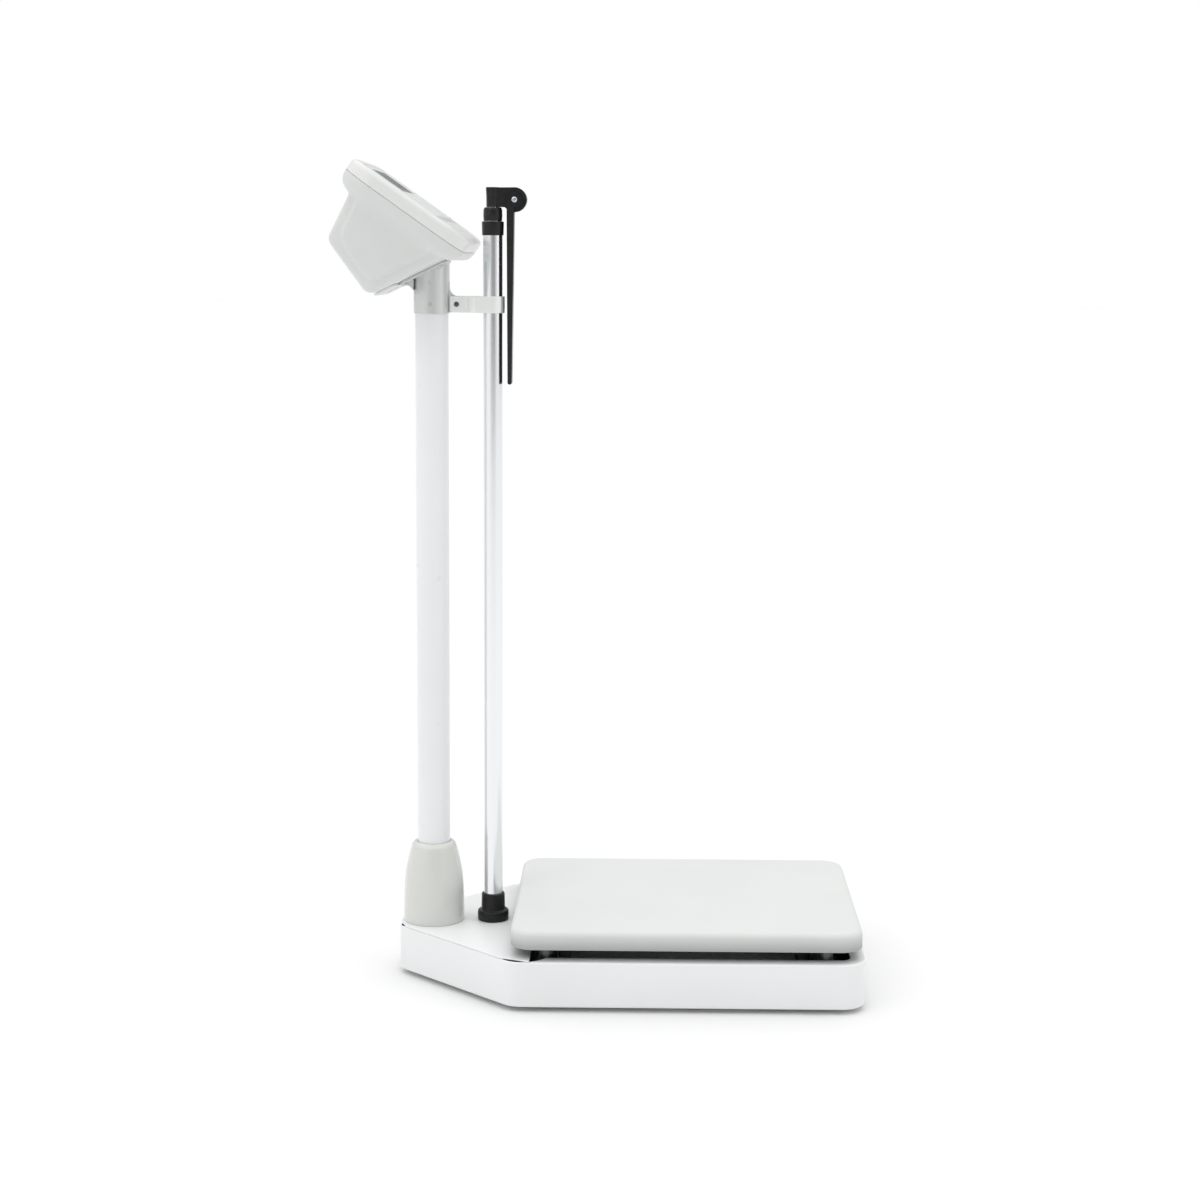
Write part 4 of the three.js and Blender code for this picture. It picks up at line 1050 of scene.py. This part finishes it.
def add_bracket():
    add_head_bracket()
    add_strap()
    add_sleeve_screws()
    flange_face = -0.6 - FLANGE["thickness"]
    for i, (x, y) in enumerate(FLANGE_SCREW_PLACES, 1):
        downward = Matrix.Translation((x, y, flange_face)) @ Matrix.Rotation(math.pi, 4, "X")
        add_screw(f"flange_screw_{i}", UNDERSIDE_FRAME @ downward, "stand", ZINC, (3.6, 2.4), 2.0, 12)
    place = middle("strap_screw")
    matrix = Matrix.Translation((place.x, -6.6, place.z)) @ FACING_FRONT
    add_screw("strap_screw", matrix, "stand", DARK_STEEL, (2.9, 1.8), 1.8, high("strap_screw").y + 6.6)
    finish_node("strap_nut", ZINC, bevel=0.2)


# ---- display head ----


HEAD_CORNERS = rectangle(-78.8, 78.8, -115, 115, 38)
HEAD_WALL = 2.5
SEAM = -15.7  # height in the head's frame where the bezel meets the rear shell
RIM_LEVELS = [
    (-36, 20), (-34.8, 14.5), (-32.8, 9.2), (-30, 5.2), (-26.5, 2.3), (-22.5, 0.6), (-18, 0), (-8, 0),
]
RIM_INSIDE = [(-34, 20.5), (-31, 10), (-27.5, 5.7), (-22, 3.3), (-15, 2.5), (-5, 2.5)]
BODY_CORNERS = [(18.8, -117.1, 12), (68.5, -26, 0), (-61.9, -26, 0), (-53.1, -91.9, 12)]
PANEL_CORNERS = [(18.8, -117.1, 26), (75.0, -14, 0), (-63.5, -14, 0), (-53.1, -91.9, 38)]
BODY_SIDE = [(84, 0), (89, 1.2), (92.5, 4), (96, 14)]  # half widths, and how far the edges draw in
PANEL_HALF_WIDTH = 100.4
PANEL_MARGIN = 12.5
COVE_RADIUS = 14


def drafted(mesh):
    """Leans the head body's sides in towards its bottom."""
    for vertex in mesh.verts:
        vertex.co.y *= 1 - 0.00125 * max(-33 - vertex.co.z, 0)
    return mesh


def body_solid(wall):
    """The body below the rim, with wide chamfers along its sides, smaller all round by a wall."""
    upper = [(half - wall, d) for half, d in BODY_SIDE]
    levels = [*[(-z, d) for z, d in reversed(upper)], *upper]
    return drafted(moved(stacked(inset(BODY_CORNERS, wall), levels), FACING_FRONT))


def side_panels():
    """The slightly raised flat on both sides of the body, set in from its back and bottom edges."""
    outline = filleted(inset(PANEL_CORNERS, PANEL_MARGIN))
    return drafted(sideways(outline, -PANEL_HALF_WIDTH, PANEL_HALF_WIDTH))


def cove(side):
    """Fills the corner between the rim's underside and the body's side with a hollow curve."""
    centre, root = Vector((112.5, -46)), Vector((94, -28))
    arc = [math.radians(117 + 63 * k / 8) for k in range(9)]
    curve = [centre + COVE_RADIUS * Vector((math.cos(a), math.sin(a))) for a in arc]
    section = [*curve, Vector((root.x, centre.y)), root, Vector((curve[0].x, root.y))]
    loops = []
    for x, slant in ((-56, -0.6), (56, 0.75)):
        loops.append([Vector((x + slant * (p.y - root.y), side * p.x, p.y)) for p in section])
    return skin(loops)


def add_rear_shell():
    solid = joined(stacked(HEAD_CORNERS, RIM_LEVELS), body_solid(0), side_panels(), cove(-1), cove(1))
    skin_mesh = softened(solid, 1.5, 12)
    into_head = HEAD_FRAME.inverted() @ UNDERSIDE_FRAME
    above_seam = block(-120, 120, -160, 160, SEAM - 0.3, 40)
    doorway = moved(block(-51, -36.6, -54, 54, -4, 5), into_head)
    cable_hole = moved(round_hole(COLUMN_X, 0, 8, 790, 860), HEAD_FRAME.inverted())
    screw_places = [moved(round_hole(x, y, 2.3, -4, 14), into_head) for x, y in FLANGE_SCREW_PLACES]
    shell = cut(skin_mesh, above_seam, stacked(HEAD_CORNERS, RIM_INSIDE), body_solid(HEAD_WALL), doorway,
                cable_hole, *screw_places)
    piece("rear_shell_moulding", moved(shell, HEAD_FRAME), "stand", HEAD_PLASTIC,
          ["rear_shell"])


FACE_CORNERS = rectangle(-66, 60, -100, 100, 10)
FACE_RECESS = 1.6
WINDOW_CORNERS = rectangle(-58, -17, -60, 60, 2)
KEY_X = 35
KEY_SPACING = 36
KEY_NAMES = ["key_unit", "key_hold", "key_power", "key_tare", "key_print"]


def key_corners(y, clearance=0.0):
    return rectangle(KEY_X - 6 - clearance, KEY_X + 6 + clearance, y - 11 - clearance, y + 11 + clearance, 3)


def key_places():
    return [(name, (i - 2) * KEY_SPACING) for i, name in enumerate(KEY_NAMES)]


def face_openings():
    """Holes through the face for the display window and the keys."""
    outlines = [inset(WINDOW_CORNERS, -0.3), *[key_corners(y, 0.3) for _, y in key_places()]]
    return [prism(filleted(outline), -8, 1) for outline in outlines]


def add_bezel():
    outside = stacked(HEAD_CORNERS, [(SEAM, 0.35), (SEAM + 0.35, 0), *rounded_edge(0, 6.4, 10)])
    inside = stacked(HEAD_CORNERS, [(SEAM - 1, 2.5), (-8, 2.5), (-4, 6.5)])
    recess = stacked(FACE_CORNERS, [(-FACE_RECESS, 0.6), (-0.4, 0), (0.4, -0.6), (1, -0.6)])
    bezel = cut(outside, inside, recess, *face_openings())
    piece("front_bezel_moulding", moved(bezel, HEAD_FRAME), "stand", BEZEL_PLASTIC,
          ["front_bezel"])


def add_overlay():
    sheet = stacked(inset(FACE_CORNERS, 0.9), [(-1.3, 0), *rounded_edge(-0.5, 0.25, 3)])
    overlay = cut(sheet, *face_openings())
    piece("face_overlay_film", moved(overlay, HEAD_FRAME), "stand", OVERLAY, ["face_overlay"])


def face_shape(points, bottom, top):
    """A raised shape on the face from (right, up) points, as seen by someone reading it."""
    return prism([Vector((-up, right)) for right, up in points], bottom, top)


def segment(right, up, length, upright):
    """One pointed bar of a seven-segment digit, centred at (right, up)."""
    half, width = length / 2, 1.1
    shape = [(-half, 0), (-half + width, width), (half - width, width),
             (half, 0), (half - width, -width), (-half + width, -width)]
    if upright:
        shape = [(b, a) for a, b in shape]
    return [(right + a, up + b) for a, b in shape]


def add_segments():
    """Four faint seven-segment digits in the display, all unlit, each with its point."""
    middle_up = -(WINDOW_CORNERS[0][0] + WINDOW_CORNERS[1][0]) / 2
    shapes = []
    for digit in range(4):
        right = (digit - 1.5) * 24
        bars = [(0, 12, False), (0, 0, False), (0, -12, False), (-6.4, 6, True), (6.4, 6, True),
                (-6.4, -6, True), (6.4, -6, True)]
        shapes += [segment(right + a, middle_up + b, 10.6, upright) for a, b, upright in bars]
        dot_right, dot_up = right + 11.5, middle_up - 12
        shapes.append([(dot_right - 1, dot_up - 1), (dot_right + 1, dot_up - 1),
                       (dot_right + 1, dot_up + 1), (dot_right - 1, dot_up + 1)])
    mesh = merged(*[face_shape(shape, -0.52, -0.44) for shape in shapes])
    piece("display_segments", moved(mesh, HEAD_FRAME), "stand", INK)


def arc_band(inner, outer, start, end, steps=24):
    """A band of a ring between two angles in degrees, as (right, up) points."""
    angles = [math.radians(start + (end - start) * k / steps) for k in range(steps + 1)]
    return ([(outer * math.cos(a), outer * math.sin(a)) for a in angles]
            + [(inner * math.cos(a), inner * math.sin(a)) for a in reversed(angles)])


def bar(right0, right1, up0, up1):
    return [(right0, up0), (right1, up0), (right1, up1), (right0, up1)]


ICONS = {
    "key_unit": [[(-4.5, 0.4), (-1.0, 0.4), (-2.75, 3.4)], [(1.0, -0.4), (2.75, -3.4), (4.5, -0.4)]],
    "key_hold": [bar(-2.2, -0.8, -2.8, 2.8), bar(0.8, 2.2, -2.8, 2.8)],
    "key_power": [arc_band(2.3, 3.1, 120, 420), bar(-0.4, 0.4, 0.4, 3.8)],
    "key_tare": [arc_band(2.2, 3.0, 0, 178), arc_band(2.2, 3.0, 180, 358)],
    "key_print": [bar(-3.2, 3.2, -2.8, -2.0), bar(-3.2, 3.2, -0.4, 0.4), bar(-3.2, 3.2, 2.0, 2.8)],
}


def add_keys():
    """Key caps with dished tops, each with a plain printed sign."""
    for name, y in key_places():
        levels = [(-9.4, 0), *rounded_edge(0, 0.7, 5), (-0.15, 1.6)]
        cap = stacked(key_corners(y), levels)
        piece(f"{name}_cap", moved(cap, HEAD_FRAME), name, KEY_PLASTIC, [name])
        shapes = [[(a + y, b - KEY_X) for a, b in shape] for shape in ICONS[name]]
        signs = merged(*[face_shape(shape, -0.18, -0.1) for shape in shapes])
        piece(f"{name}_sign", moved(signs, HEAD_FRAME), name, ICON_INK)


def add_battery_door():
    """A lid with rounded edges and finger ridges, and the plug that locates it."""
    corners = rectangle(-57, -30.6, -60, 60, 5)
    lid = stacked(corners, [(-3, 2.4), (-2.9, 1.5), (-2.5, 0.8), (-1.8, 0.3), (-1, 0), (-0.3, 0)])
    plug = block(-50.7, -36.9, -53.7, 53.7, -1, 2)
    grooves = [block(-49 + 4 * k, -47.6 + 4 * k, -14, 14, -4, -2.5) for k in range(4)]
    piece("battery_door_lid", moved(cut(joined(lid, plug), *grooves), UNDERSIDE_FRAME), "battery_door",
          HEAD_PLASTIC, ["battery_door"], bevel=0.2)


def add_head():
    add_rear_shell()
    add_bezel()
    add_overlay()
    add_segments()
    add_keys()
    add_battery_door()
    finish_node("lcd_window", LENS, bevel=0.15)
    finish_node("lcd_module", DARK_PLASTIC, bevel=0.5)
    finish_node("main_board", BOARD, bevel=0.1)
    finish_node("battery_pack", DARK_PLASTIC, bevel=2.0)


add_stage()
add_base()
add_platform()
add_column()
add_height_rod()
add_bracket()
add_head()
